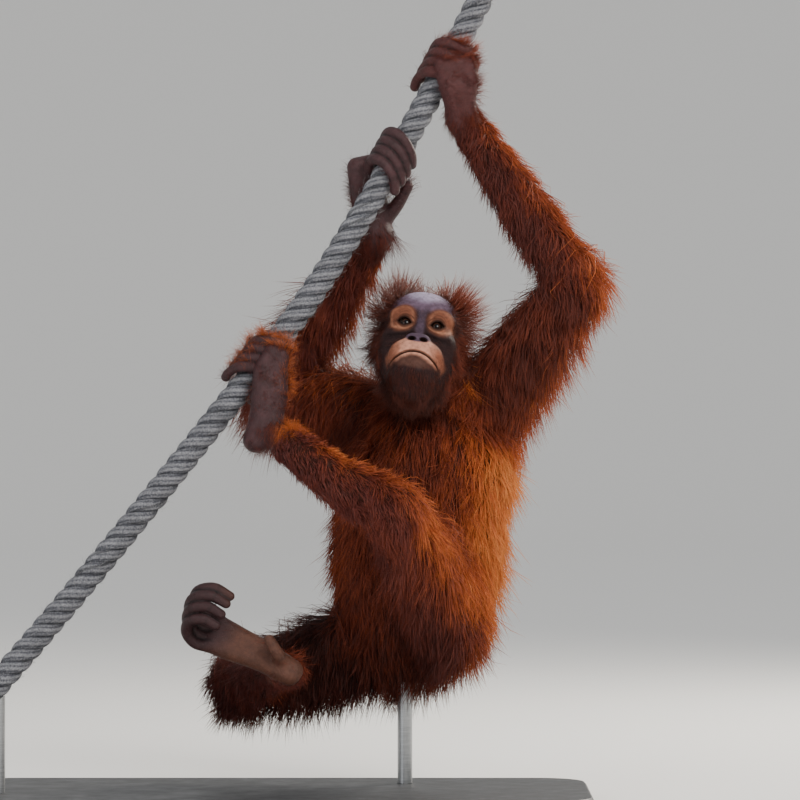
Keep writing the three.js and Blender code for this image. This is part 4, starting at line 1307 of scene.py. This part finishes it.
def strand_mesh(name, line, width, root_colour, mid_colour, tip_colour, uv, material, slot):
    """Closed three-sided tapering tubes round the lines, with colours from root to tip."""
    n, k1, _ = line.shape
    rings = k1 - 1
    along = np.gradient(line, axis=1)
    along = unit(along)
    helper = unit(np.cross(along, np.array([0.31, 0.85, 0.42])))
    other = np.cross(along, helper)
    taper = np.array([0.8, 1.0, 0.85, 0.6, 0.45, 0.3])[:rings] if rings > 2 else np.array([0.9, 0.75])
    ring = []
    for j in range(3):
        turn = 2 * math.pi * j / 3
        reach = (width[:, None] * taper[None, :])[..., None]
        round_it = math.cos(turn) * helper[:, :rings] + math.sin(turn) * other[:, :rings]
        ring.append(line[:, :rings] + reach * round_it)
    tube = np.stack(ring, 2).reshape(n, rings * 3, 3)
    points = np.concatenate([tube, line[:, rings:]], 1)
    m = rings * 3 + 1
    faces = [(0, 2, 1)]
    for i in range(rings - 1):
        for j in range(3):
            a, b = i * 3 + j, i * 3 + (j + 1) % 3
            faces += [(a, b, b + 3), (a, b + 3, a + 3)]
    top = (rings - 1) * 3
    faces += [(top + j, top + (j + 1) % 3, m - 1) for j in range(3)]
    faces = np.array(faces)
    all_faces = (faces[None] + np.arange(n)[:, None, None] * m).reshape(-1, 3)
    obj = mesh_object(name, points.reshape(-1, 3), all_faces, material)
    t = np.concatenate([np.repeat(np.arange(rings) / rings, 3), [1.0]])
    first = np.clip(1 - t / 0.45, 0, 1)[None, :, None]
    last = np.clip((t - 0.45) / 0.55, 0, 1)[None, :, None]
    colour = (
        root_colour[:, None] * first + tip_colour[:, None] * last + mid_colour[:, None] * (1 - first - last)
    )
    paint(obj, "hair colour", colour.reshape(-1, 3))
    layer = obj.data.uv_layers.new(name="OFBake")
    patch = 0.003
    local_v = t * patch
    local_u = np.concatenate([np.tile(np.arange(3) / 3, rings), [0.5]]) * patch
    corner = faces.ravel()
    full = uv[:, None, :] + np.stack([local_u, local_v], 1)[None, corner]
    layer.data.foreach_set("uv", full.astype(np.float32).ravel())
    add_piece(obj)
    return len(all_faces)


hair = Nodes("hair")
hair_tone = hair.add("Attribute", attribute_name="hair colour").outputs["Color"]
hair_grain = hair.span(hair.noise(900, 2), 0.3, 0.7, 0.85, 1.15)
hair.link(hair.tint(hair_tone, hair_grain), hair.shader, "Base Color")
hair.shader.inputs["Roughness"].default_value = 0.5
hair.shader.inputs["Specular IOR Level"].default_value = 0.35
HAIR = hair.material

# %% [markdown]
# The unwrap for the coat's bake is made of one strip for each limb: across it goes the angle round the
# limb, along it the share of the limb's length. Every strand is a tiny patch at its root's place.

# %% Coat of the body
ATLAS = {name: (0.005 + 0.0915 * i, 0.0865) for i, name in enumerate([*LIMBS, "head"])}


def atlas_place(name, angle, share):
    low, span = ATLAS[name]
    u = low + (angle / (2 * math.pi) + 0.5) * (span - 0.003)
    v = 0.005 + np.clip(share, 0, 1) * 0.98
    return np.stack([u, v], 1)


rng = np.random.default_rng(21)
total_strands = int(sum(style["strands"] for style in STYLE.values()))
coat_triangles = 0
roots, pick = scatter(body_points, body_faces, weight, total_strands, rng)
root_normals = body.slope(roots)
root_owner = owner[pick]
mix, info = mixed_style(roots)
warm = warmth(roots, root_normals, mix["warm"])
print("body strands", total_strands)

RINGS = 3
STRAND_TRIANGLES = 16
PIECE_TRIANGLES = 190000
for i, name in enumerate(LIMBS):
    own = root_owner == i
    style = STYLE[name]
    p, nrm = roots[own], root_normals[own]
    count = len(p)
    share, angle = info[name][1][own], info[name][3][own]
    facing = np.clip(nrm @ unit(np.array(style["favour"], float)), 0, 1)
    length = mix["length"][own] * (1 + style["gain"] * facing) * rng.uniform(0.55, 1.2, count)
    length *= 1 - 0.5 * soft(np.linalg.norm(p - from_head(THROAT), axis=1), 45, 40)
    if name.startswith(("forearm", "shin")):
        length *= 1 - 0.62 * soft(-share, -0.75, 0.6)
    flow = mix["flow"][own] + DOWN * mix["hang"][own][:, None]
    line = strands(p, nrm, flow, length, mix["lift"][own], mix["hang"][own], RINGS, rng)
    own_warm = warm[own] + rng.normal(0, 0.05, count)
    purple = np.clip(mix["maroon"][own] * (1.3 - 2 * own_warm), 0, 1)
    mid = blend_in(coat_tone(own_warm), MAROON, purple)
    # Lighter tips: partly the hair's own paler tips, partly painted glow of light through them.
    tip = blend_in(coat_tone(own_warm + 0.2), MAROON * 1.25, purple * 0.6)
    root = coat_tone(own_warm * 0.5) * 0.7
    uv = atlas_place(name, angle, share)
    width = rng.uniform(0.25, 0.44, count)
    order = np.argsort(share, kind="stable")
    pieces = max(1, math.ceil(count * STRAND_TRIANGLES / PIECE_TRIANGLES))
    for part, chosen in enumerate(np.array_split(order, pieces)):
        label = f"coat_{name}" + (f"_{part + 1}" if pieces > 1 else "")
        slot = "coat_dark" if name.startswith(("forearm", "shin")) else "coat"
        coat_triangles += strand_mesh(
            label, line[chosen], width[chosen], root[chosen], mid[chosen], tip[chosen], uv[chosen], HAIR, slot
        )
print("body coat triangles", coat_triangles)

# %% [markdown]
# ## Hair of the head
# The face is bare. Round it the hair stands off the head like a loose halo, longer at the crown and the
# cheeks, and at the nape it runs down into the back. It all flows away from the middle of the face.

# %% Coat of the head
head_centres = head_points[head_faces].mean(1)
hairiness = head_hair(head_centres)
ear_gap = np.linalg.norm(np.abs(head_centres) * (1, 0, 0) + head_centres * (0, 1, 1) - EAR_CENTRE, axis=1)
hairiness[(ear_gap < 15) & (np.abs(head_centres[:, 0]) > 49)] *= 0.15
sunk = body.read(from_head(head_centres)) < -2
hairiness[sunk] = 0
head_count = 10000
roots, pick = scatter(head_points, head_faces, hairiness, head_count, rng)
normals = head.slope(roots)
x, y, z = np.abs(roots[:, 0]), roots[:, 1], roots[:, 2]
amount = head_hair(roots)
flow = unit(roots - np.array([0, -45, -20]))
crown = soft(-z, -20, 30)
nape = soft(-y, -30, 30) * soft(z, 0, 30)
length = (15 + 20 * crown + 14 * nape + 7 * soft(-x, -30, 20)) * (0.45 + 0.55 * amount)
length = length * rng.uniform(0.5, 1.25, head_count)
lift = 0.9 - 0.3 * nape + 0.9 * crown
world_roots = from_head(roots)
world_normals = normals @ HEAD_TURN.T
world_flow = unit(flow @ HEAD_TURN.T + DOWN * (0.7 - 1.8 * crown)[:, None])
line = strands(
    world_roots, world_normals, world_flow, length, lift, 0.35 - 0.3 * crown, 3, rng, 0.42, 0.25, 7
)
# Painted light where the hair faces the light; warmer at the crown and nape, darker low on the head, lighter
# at the tips.
own_warm = 0.11 + 0.1 * crown + 0.12 * np.clip(world_normals @ LIT_SIDE, 0, 1) + 0.1 * nape
own_warm -= 0.12 * soft(roots[:, 2], -60, 30)
own_warm = own_warm + 0.05 * ripple(world_roots, 30, 31) + rng.normal(0, 0.05, head_count)
angle = np.arctan2(roots[:, 0], -roots[:, 1])
height = (roots[:, 2] + 100) / 170
strand_mesh("coat_head", line, rng.uniform(0.14, 0.26, head_count), coat_tone(own_warm * 0.4) * 0.7,
            coat_tone(own_warm), coat_tone(own_warm + 0.16), atlas_place("head", angle, height), HAIR, "coat")

# %% [markdown]
# Short stubble covers the chin, cheeks and brow, and thin hair the backs of the hands and feet. These
# are the smallest strands, because there the skin itself has to show.

# %% Stubble and the backs of hands and feet
chin_weight = np.clip(0.15 + soft(head_centres[:, 2], -66, 16), 0, 1) * (hairiness < 0.9)
chin_weight *= soft(head_centres[:, 1], 20, 30) * ~sunk
patch = np.sqrt(((np.abs(head_centres[:, 0]) - 21) / 15) ** 2 + ((head_centres[:, 2] - 3) / 19) ** 2)
chin_weight[patch < 1] *= 0.1
hairline = soft(np.abs(hairiness - 0.1), 0.1, 0.25) * (hairiness > 0)
chin_weight = chin_weight + 1.5 * hairline * ~sunk
stubble_count = 5000
roots, pick = scatter(head_points, head_faces, chin_weight, stubble_count, rng)
normals = head.slope(roots)
low = soft(roots[:, 2], -66, 20)
flow = unit(roots - np.array([0, -75, -25]))
length = (2.2 + 6 * low + 16 * head_hair(roots)) * rng.uniform(0.6, 1.3, stubble_count)
line = strands(from_head(roots), normals @ HEAD_TURN.T, flow @ HEAD_TURN.T + DOWN * 0.3, length + 2.5,
               0.5 + 0 * low, 0.3 + 0 * low, 2, rng, 0.2, 0.2, 5)
tone = DEEP * rng.uniform(0.35, 0.9, (stubble_count, 1))
angle = np.arctan2(roots[:, 0], -roots[:, 1])
strand_mesh("coat_face", line, 0.12 + 0.07 * low, tone * 0.6, tone, tone * 1.3,
            atlas_place("head", angle, (roots[:, 2] + 100) / 170), HAIR, "coat_dark")

HAND_HAIR = {
    # the joint that the hair starts from, the way it lies, how far it reaches, the way it faces, its length
    # and number, and its tone; the lit fringe is painted light, the tone where it faces up, toward the light
    "hand_left": ("wrist_left", (20, -10, 30), 112, (0.5, -0.6, 0.6), 7, 7000, MAROON * 0.75, RUST * 0.9),
    "hand_right": ("wrist_right", (0, 0, 30), 80, (-0.7, 0.2, 0.2), 11, 4000, MAROON * 0.7, DEEP * 1.5),
    "foot_left": ("ankle_left", (-10, -10, 60), 130, (0.45, 0, 0.85), 7.5, 7000, MAROON * 0.8, ORANGE),
    "foot_right": ("ankle_right", (-30, 20, -10), 80, (0, 0.6, -0.8), 8, 1800, MAROON * 0.8, RUST),
}
for name, (joint, shift, reach, facing, size, count, tone, lit_fringe) in HAND_HAIR.items():
    field, points, faces = hand_skins[name]
    lie = unit(np.array(shift, float))
    centres = points[faces].mean(1)
    normals = field.slope(centres)
    away = np.linalg.norm(centres - JOINT[joint], axis=1)
    bare = 0.05 if name == "foot_right" else 0.3
    toward = np.clip(normals @ unit(np.array(facing, float)) + 0.15, 0, 1)
    weight = soft(away, reach, 40) * (bare + 1.3 * toward) + 0.6 * soft(away, 26, 26)
    weight[body.read(centres) < -1.5] = 0
    roots, pick = scatter(points, faces, weight, count, rng)
    normals = field.slope(roots)
    top = soft(-(normals @ unit(np.array([0.55, 0.1, 0.8]))), -0.42, 0.8)
    at_wrist = soft(np.linalg.norm(roots - JOINT[joint], axis=1), 26, 26)
    along = np.clip((roots - JOINT[joint]) @ lie / reach, 0, 1)
    length = size * (1 + top + 0.6 * at_wrist) * rng.uniform(0.5, 1.3, count) + 2.5
    flow = lie * (1 - 2 * at_wrist)[:, None] + DOWN * 0.3
    line = strands(roots, normals, flow, length, 0.2 + 0.5 * top, np.full(count, 0.4), 2, rng, 0.35, 0.08, 6)
    grain = rng.uniform(0.7, 1.25, (count, 1))
    uv = atlas_place(HANDS[name][1], rng.uniform(-3, 3, count), 0.9 + 0.1 * along)
    base = blend_in(tone + 0 * roots, coat_tone(0.28 + 0 * along), 0.7 * at_wrist)
    # Painted light: hair that faces up toward the light takes the lit fringe tone.
    mid = blend_in(base, lit_fringe * 0.8, top) * grain
    tip = blend_in(base * 1.2, lit_fringe, top) * grain
    strand_mesh("coat_" + name, line, rng.uniform(0.13, 0.21, count), tone * 0.6 * grain, mid, tip, uv, HAIR,
                "coat_dark")
print("head and hand hair done")

# %% [markdown]
# ## The rope
# The rope is laid from three thick strands that turn round each other. Geometry Nodes copy the rope's
# middle line three times, wind each copy round it, and sweep a round section along it. The yarns inside
# each strand turn the other way: they are faint grooves in the material, found from two stored numbers.

# %% Laid rope with Geometry Nodes
LAY_LENGTH = 0.058
STRAND_RADIUS = 0.0083
STRANDS = 3
curve = bpy.data.curves.new("rope line", "CURVE")
curve.dimensions = "3D"
spline = curve.splines.new("POLY")
rope_points = fine_rope[::7] * MM
spline.points.add(len(rope_points) - 1)
for point, place in zip(spline.points, rope_points):
    point.co = (*place, 1)
rope_line = bpy.data.objects.new("rope_line", curve)
bpy.context.scene.collection.objects.link(rope_line)

group = bpy.data.node_groups.new("laid rope", "GeometryNodeTree")
group.interface.new_socket("Geometry", in_out="INPUT", socket_type="NodeSocketGeometry")
for label, kind, value in (
    ("Strands", "NodeSocketInt", STRANDS),
    ("Lay length", "NodeSocketFloat", LAY_LENGTH),
    ("Rope radius", "NodeSocketFloat", ROPE_RADIUS * MM),
    ("Strand radius", "NodeSocketFloat", STRAND_RADIUS),
):
    socket = group.interface.new_socket(label, in_out="INPUT", socket_type=kind)
    socket.default_value = value
group.interface.new_socket("Geometry", in_out="OUTPUT", socket_type="NodeSocketGeometry")


def gn(kind, **settings):
    node = group.nodes.new(kind)
    for key, value in settings.items():
        setattr(node, key, value)
    return node


def wire(out, to):
    group.links.new(out, to)


def compute(operation, a, b=None):
    node = gn("ShaderNodeMath", operation=operation)
    for i, value in enumerate((a, b)):
        if value is None:
            continue
        if isinstance(value, (int, float)):
            node.inputs[i].default_value = value
        else:
            wire(value, node.inputs[i])
    return node.outputs[0]


def stretch(vector, scale):
    node = gn("ShaderNodeVectorMath", operation="SCALE")
    wire(vector, node.inputs[0])
    wire(scale, node.inputs["Scale"])
    return node.outputs["Vector"]


given = gn("NodeGroupInput")
result = gn("NodeGroupOutput")
resample = gn("GeometryNodeResampleCurve")
resample.inputs["Count"].default_value = 420
wire(given.outputs["Geometry"], resample.inputs["Curve"])
parameter = gn("GeometryNodeSplineParameter")
tangent = gn("GeometryNodeInputTangent")
normal = gn("GeometryNodeInputNormal")
capture = gn("GeometryNodeCaptureAttribute", domain="POINT")
capture.capture_items.new("FLOAT", "along")
capture.capture_items.new("VECTOR", "tangent")
capture.capture_items.new("VECTOR", "normal")
wire(resample.outputs["Curve"], capture.inputs["Geometry"])
wire(parameter.outputs["Length"], capture.inputs["along"])
wire(tangent.outputs["Tangent"], capture.inputs["tangent"])
wire(normal.outputs["Normal"], capture.inputs["normal"])
copies = gn("GeometryNodeDuplicateElements", domain="SPLINE")
wire(capture.outputs["Geometry"], copies.inputs["Geometry"])
wire(given.outputs["Strands"], copies.inputs["Amount"])
turns = compute("DIVIDE", capture.outputs["along"], given.outputs["Lay length"])
start = compute("DIVIDE", copies.outputs["Duplicate Index"], given.outputs["Strands"])
angle = compute("MULTIPLY", compute("ADD", turns, start), 2 * math.pi)
offset = compute("SUBTRACT", given.outputs["Rope radius"], given.outputs["Strand radius"])
sideways = gn("ShaderNodeVectorMath", operation="CROSS_PRODUCT")
wire(capture.outputs["tangent"], sideways.inputs[0])
wire(capture.outputs["normal"], sideways.inputs[1])
one = stretch(capture.outputs["normal"], compute("MULTIPLY", compute("COSINE", angle), offset))
two = stretch(sideways.outputs["Vector"], compute("MULTIPLY", compute("SINE", angle), offset))
both = gn("ShaderNodeVectorMath", operation="ADD")
wire(one, both.inputs[0])
wire(two, both.inputs[1])
move = gn("GeometryNodeSetPosition")
wire(copies.outputs["Geometry"], move.inputs["Geometry"])
wire(both.outputs["Vector"], move.inputs["Offset"])
keep_along = gn("GeometryNodeStoreNamedAttribute", data_type="FLOAT", domain="POINT")
keep_along.inputs["Name"].default_value = "along"
wire(move.outputs["Geometry"], keep_along.inputs["Geometry"])
wire(capture.outputs["along"], keep_along.inputs["Value"])
circle = gn("GeometryNodeCurvePrimitiveCircle")
circle.inputs["Resolution"].default_value = 16
wire(given.outputs["Strand radius"], circle.inputs["Radius"])
round_parameter = gn("GeometryNodeSplineParameter")
keep_around = gn("GeometryNodeStoreNamedAttribute", data_type="FLOAT", domain="POINT")
keep_around.inputs["Name"].default_value = "around"
wire(circle.outputs["Curve"], keep_around.inputs["Geometry"])
wire(round_parameter.outputs["Factor"], keep_around.inputs["Value"])
sweep = gn("GeometryNodeCurveToMesh")
sweep.inputs["Fill Caps"].default_value = True
wire(keep_along.outputs["Geometry"], sweep.inputs["Curve"])
wire(keep_around.outputs["Geometry"], sweep.inputs["Profile Curve"])


def rope_material():
    n = Nodes("weathered rope")
    along = n.add("Attribute", attribute_name="along").outputs["Fac"]
    around = n.add("Attribute", attribute_name="around").outputs["Fac"]
    crown = n.add("Attribute", attribute_name="crown").outputs["Fac"]
    twist = n.math("ADD", n.math("MULTIPLY", around, 8 * 2 * math.pi), n.math("MULTIPLY", along, -420))
    yarn = n.math("ABSOLUTE", n.math("SINE", n.math("MULTIPLY", twist, 0.5)))
    grain = n.noise(520, 6, 0.75)
    weather = n.noise(40, 4)
    ramp = n.add("ValToRGB")
    mixed = n.math("ADD", n.math("MULTIPLY", yarn, 0.14), n.math("MULTIPLY", grain, 0.85))
    # Painted highlight on the strands' tops and painted shade in the grooves, from the number called crown.
    n.link(n.math("ADD", mixed, n.math("MULTIPLY", crown, 0.26)), ramp, "Fac")
    stops = ramp.color_ramp.elements
    stops[0].position, stops[0].color = 0.36, (*srgb(20, 20, 23), 1)
    stops[1].position, stops[1].color = 0.95, (*srgb(168, 168, 172), 1)
    middle = stops.new(0.66)
    middle.color = (*srgb(82, 83, 90), 1)
    n.link(n.tint(ramp.outputs["Color"], n.span(weather, 0.3, 0.7, 0.75, 1.15)), n.shader, "Base Color")
    n.shader.inputs["Roughness"].default_value = 0.9
    n.shader.inputs["Specular IOR Level"].default_value = 0.2
    n.bump(n.math("ADD", n.math("MULTIPLY", yarn, 0.35), grain), 1.0, 0.002)
    return n.material


rope_look = rope_material()
finish = gn("GeometryNodeSetMaterial")
finish.inputs["Material"].default_value = rope_look
realize = gn("GeometryNodeRealizeInstances")
wire(sweep.outputs["Mesh"], realize.inputs["Geometry"])
wire(realize.outputs["Geometry"], finish.inputs["Geometry"])
wire(finish.outputs["Geometry"], result.inputs["Geometry"])


def made_plain(source, node_group, name, values=None):
    """Evaluates a Geometry Nodes modifier once and keeps the result as a plain mesh."""
    modifier = source.modifiers.new("nodes", "NODES")
    modifier.node_group = node_group
    for item in node_group.interface.items_tree:
        if item.in_out == "INPUT" and values and item.name in values:
            modifier[item.identifier] = values[item.name]
    bpy.context.view_layer.update()
    graph = bpy.context.evaluated_depsgraph_get()
    mesh = bpy.data.meshes.new_from_object(source.evaluated_get(graph), depsgraph=graph)
    mesh.name = name
    obj = bpy.data.objects.new(name, mesh)
    bpy.context.scene.collection.objects.link(obj)
    bpy.data.objects.remove(source)
    return obj


rope = made_plain(rope_line, group, "rope_strands", {"Strands": STRANDS, "Lay length": LAY_LENGTH})
for polygon in rope.data.polygons:
    polygon.use_smooth = True
vertices = np.array([v.co for v in rope.data.vertices]) / MM
from_middle = np.full(len(vertices), 1e9)
for place in fine_rope[::4]:
    from_middle = np.minimum(from_middle, ((vertices - place) ** 2).sum(1))
crown = np.clip((np.sqrt(from_middle) - 0.55 * ROPE_RADIUS) / (0.45 * ROPE_RADIUS), 0, 1)
attribute = rope.data.attributes.new("crown", "FLOAT", "POINT")
attribute.data.foreach_set("value", crown.astype(np.float32))
add_piece(rope, ["rope"])
print("rope faces", len(rope.data.polygons))

# %% [markdown]
# The number called crown says how far out of the rope's middle each point stands. It is 0 deep between
# the strands and 1 on their tops: the material paints shade in the grooves and a highlight on the tops.
#
# Weathered fibres stand off the rope. They are made like the finest strands of the coat, in rope grey.

# %% Stray fibres of the rope
fibre_count = 2600
share = rng.random(fibre_count)
place = np.stack([np.interp(share * ROPE_LENGTH, rope_run, fine_rope[:, k]) for k in range(3)], 1)
ahead = np.stack([np.interp(share * ROPE_LENGTH + 3, rope_run, fine_rope[:, k]) for k in range(3)], 1)
way = unit(ahead - place + 1e-6)
out = rng.normal(size=(fibre_count, 3))
out = unit(out - way * (out * way).sum(1, keepdims=True))
begin = place + out * (ROPE_RADIUS - 2.5)
size = rng.uniform(2, 7, fibre_count)[:, None]
bend = rng.normal(size=(fibre_count, 3)) * 0.5
line = np.stack([begin, begin + (out + way * 0.4) * (1 + size * 0.5),
                 begin + (out + way * 1.1 + bend) * (1 + size * 0.8)], 1)
fade = np.ones((fibre_count, 1))
fibre_tones = [srgb(*tone) * fade for tone in ((110, 110, 114), (150, 150, 152), (190, 188, 184))]
fibre_uv = np.stack([0.92 + 0.07 * rng.random(fibre_count), share * 0.98], 1)
strand_mesh("rope_fibres", line, np.full(fibre_count, 0.12), *fibre_tones, fibre_uv,
            HAIR, "rope")

# %% [markdown]
# ## The stand
# The base is a wooden board with dark satin paint and faint brush strokes. The rods are brushed
# steel, with fine scratches that run round them.

# %% Stand materials
def paint_material():
    n = Nodes("painted board")
    grain = n.noise(30, 5)
    brush = n.add("TexNoise", {"Scale": 1.0, "Detail": 6.0})
    spread = n.add("Mapping", {"Scale": (6, 180, 180)})
    n.link(n.place(), spread, "Vector")
    n.link(spread.outputs["Vector"], brush, "Vector")
    ramp = n.add("ValToRGB")
    strokes = n.math("MULTIPLY", brush.outputs["Fac"], 0.6)
    n.link(n.math("ADD", n.math("MULTIPLY", grain, 0.4), strokes), ramp, "Fac")
    stops = ramp.color_ramp.elements
    stops[0].position, stops[0].color = 0.3, (*srgb(40, 41, 43), 1)
    stops[1].position, stops[1].color = 0.7, (*srgb(58, 59, 61), 1)
    n.link(ramp.outputs["Color"], n.shader, "Base Color")
    n.link(n.span(grain, 0.3, 0.7, 0.42, 0.6), n.shader, "Roughness")
    n.bump(brush.outputs["Fac"], 0.25, 0.0008)
    return n.material


def steel_material():
    n = Nodes("brushed steel")
    spread = n.add("Mapping", {"Scale": (60, 60, 2600)})
    n.link(n.place(), spread, "Vector")
    scratches = n.add("TexNoise", {"Scale": 1.0, "Detail": 4.0})
    n.link(spread.outputs["Vector"], scratches, "Vector")
    value = scratches.outputs["Fac"]
    ramp = n.add("ValToRGB")
    n.link(value, ramp, "Fac")
    stops = ramp.color_ramp.elements
    stops[0].position, stops[0].color = 0.3, (0.30, 0.31, 0.32, 1)
    stops[1].position, stops[1].color = 0.7, (0.50, 0.51, 0.52, 1)
    n.link(ramp.outputs["Color"], n.shader, "Base Color")
    n.shader.inputs["Metallic"].default_value = 1.0
    n.link(n.span(value, 0.3, 0.7, 0.28, 0.42), n.shader, "Roughness")
    n.bump(value, 0.15, 0.0003)
    return n.material


board, steel = paint_material(), steel_material()
for name, look in (("stand_base", board), ("stand_rod_body", steel), ("stand_rod_rope", steel)):
    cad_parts[name].material_slots[0].material = look
print("stand done")
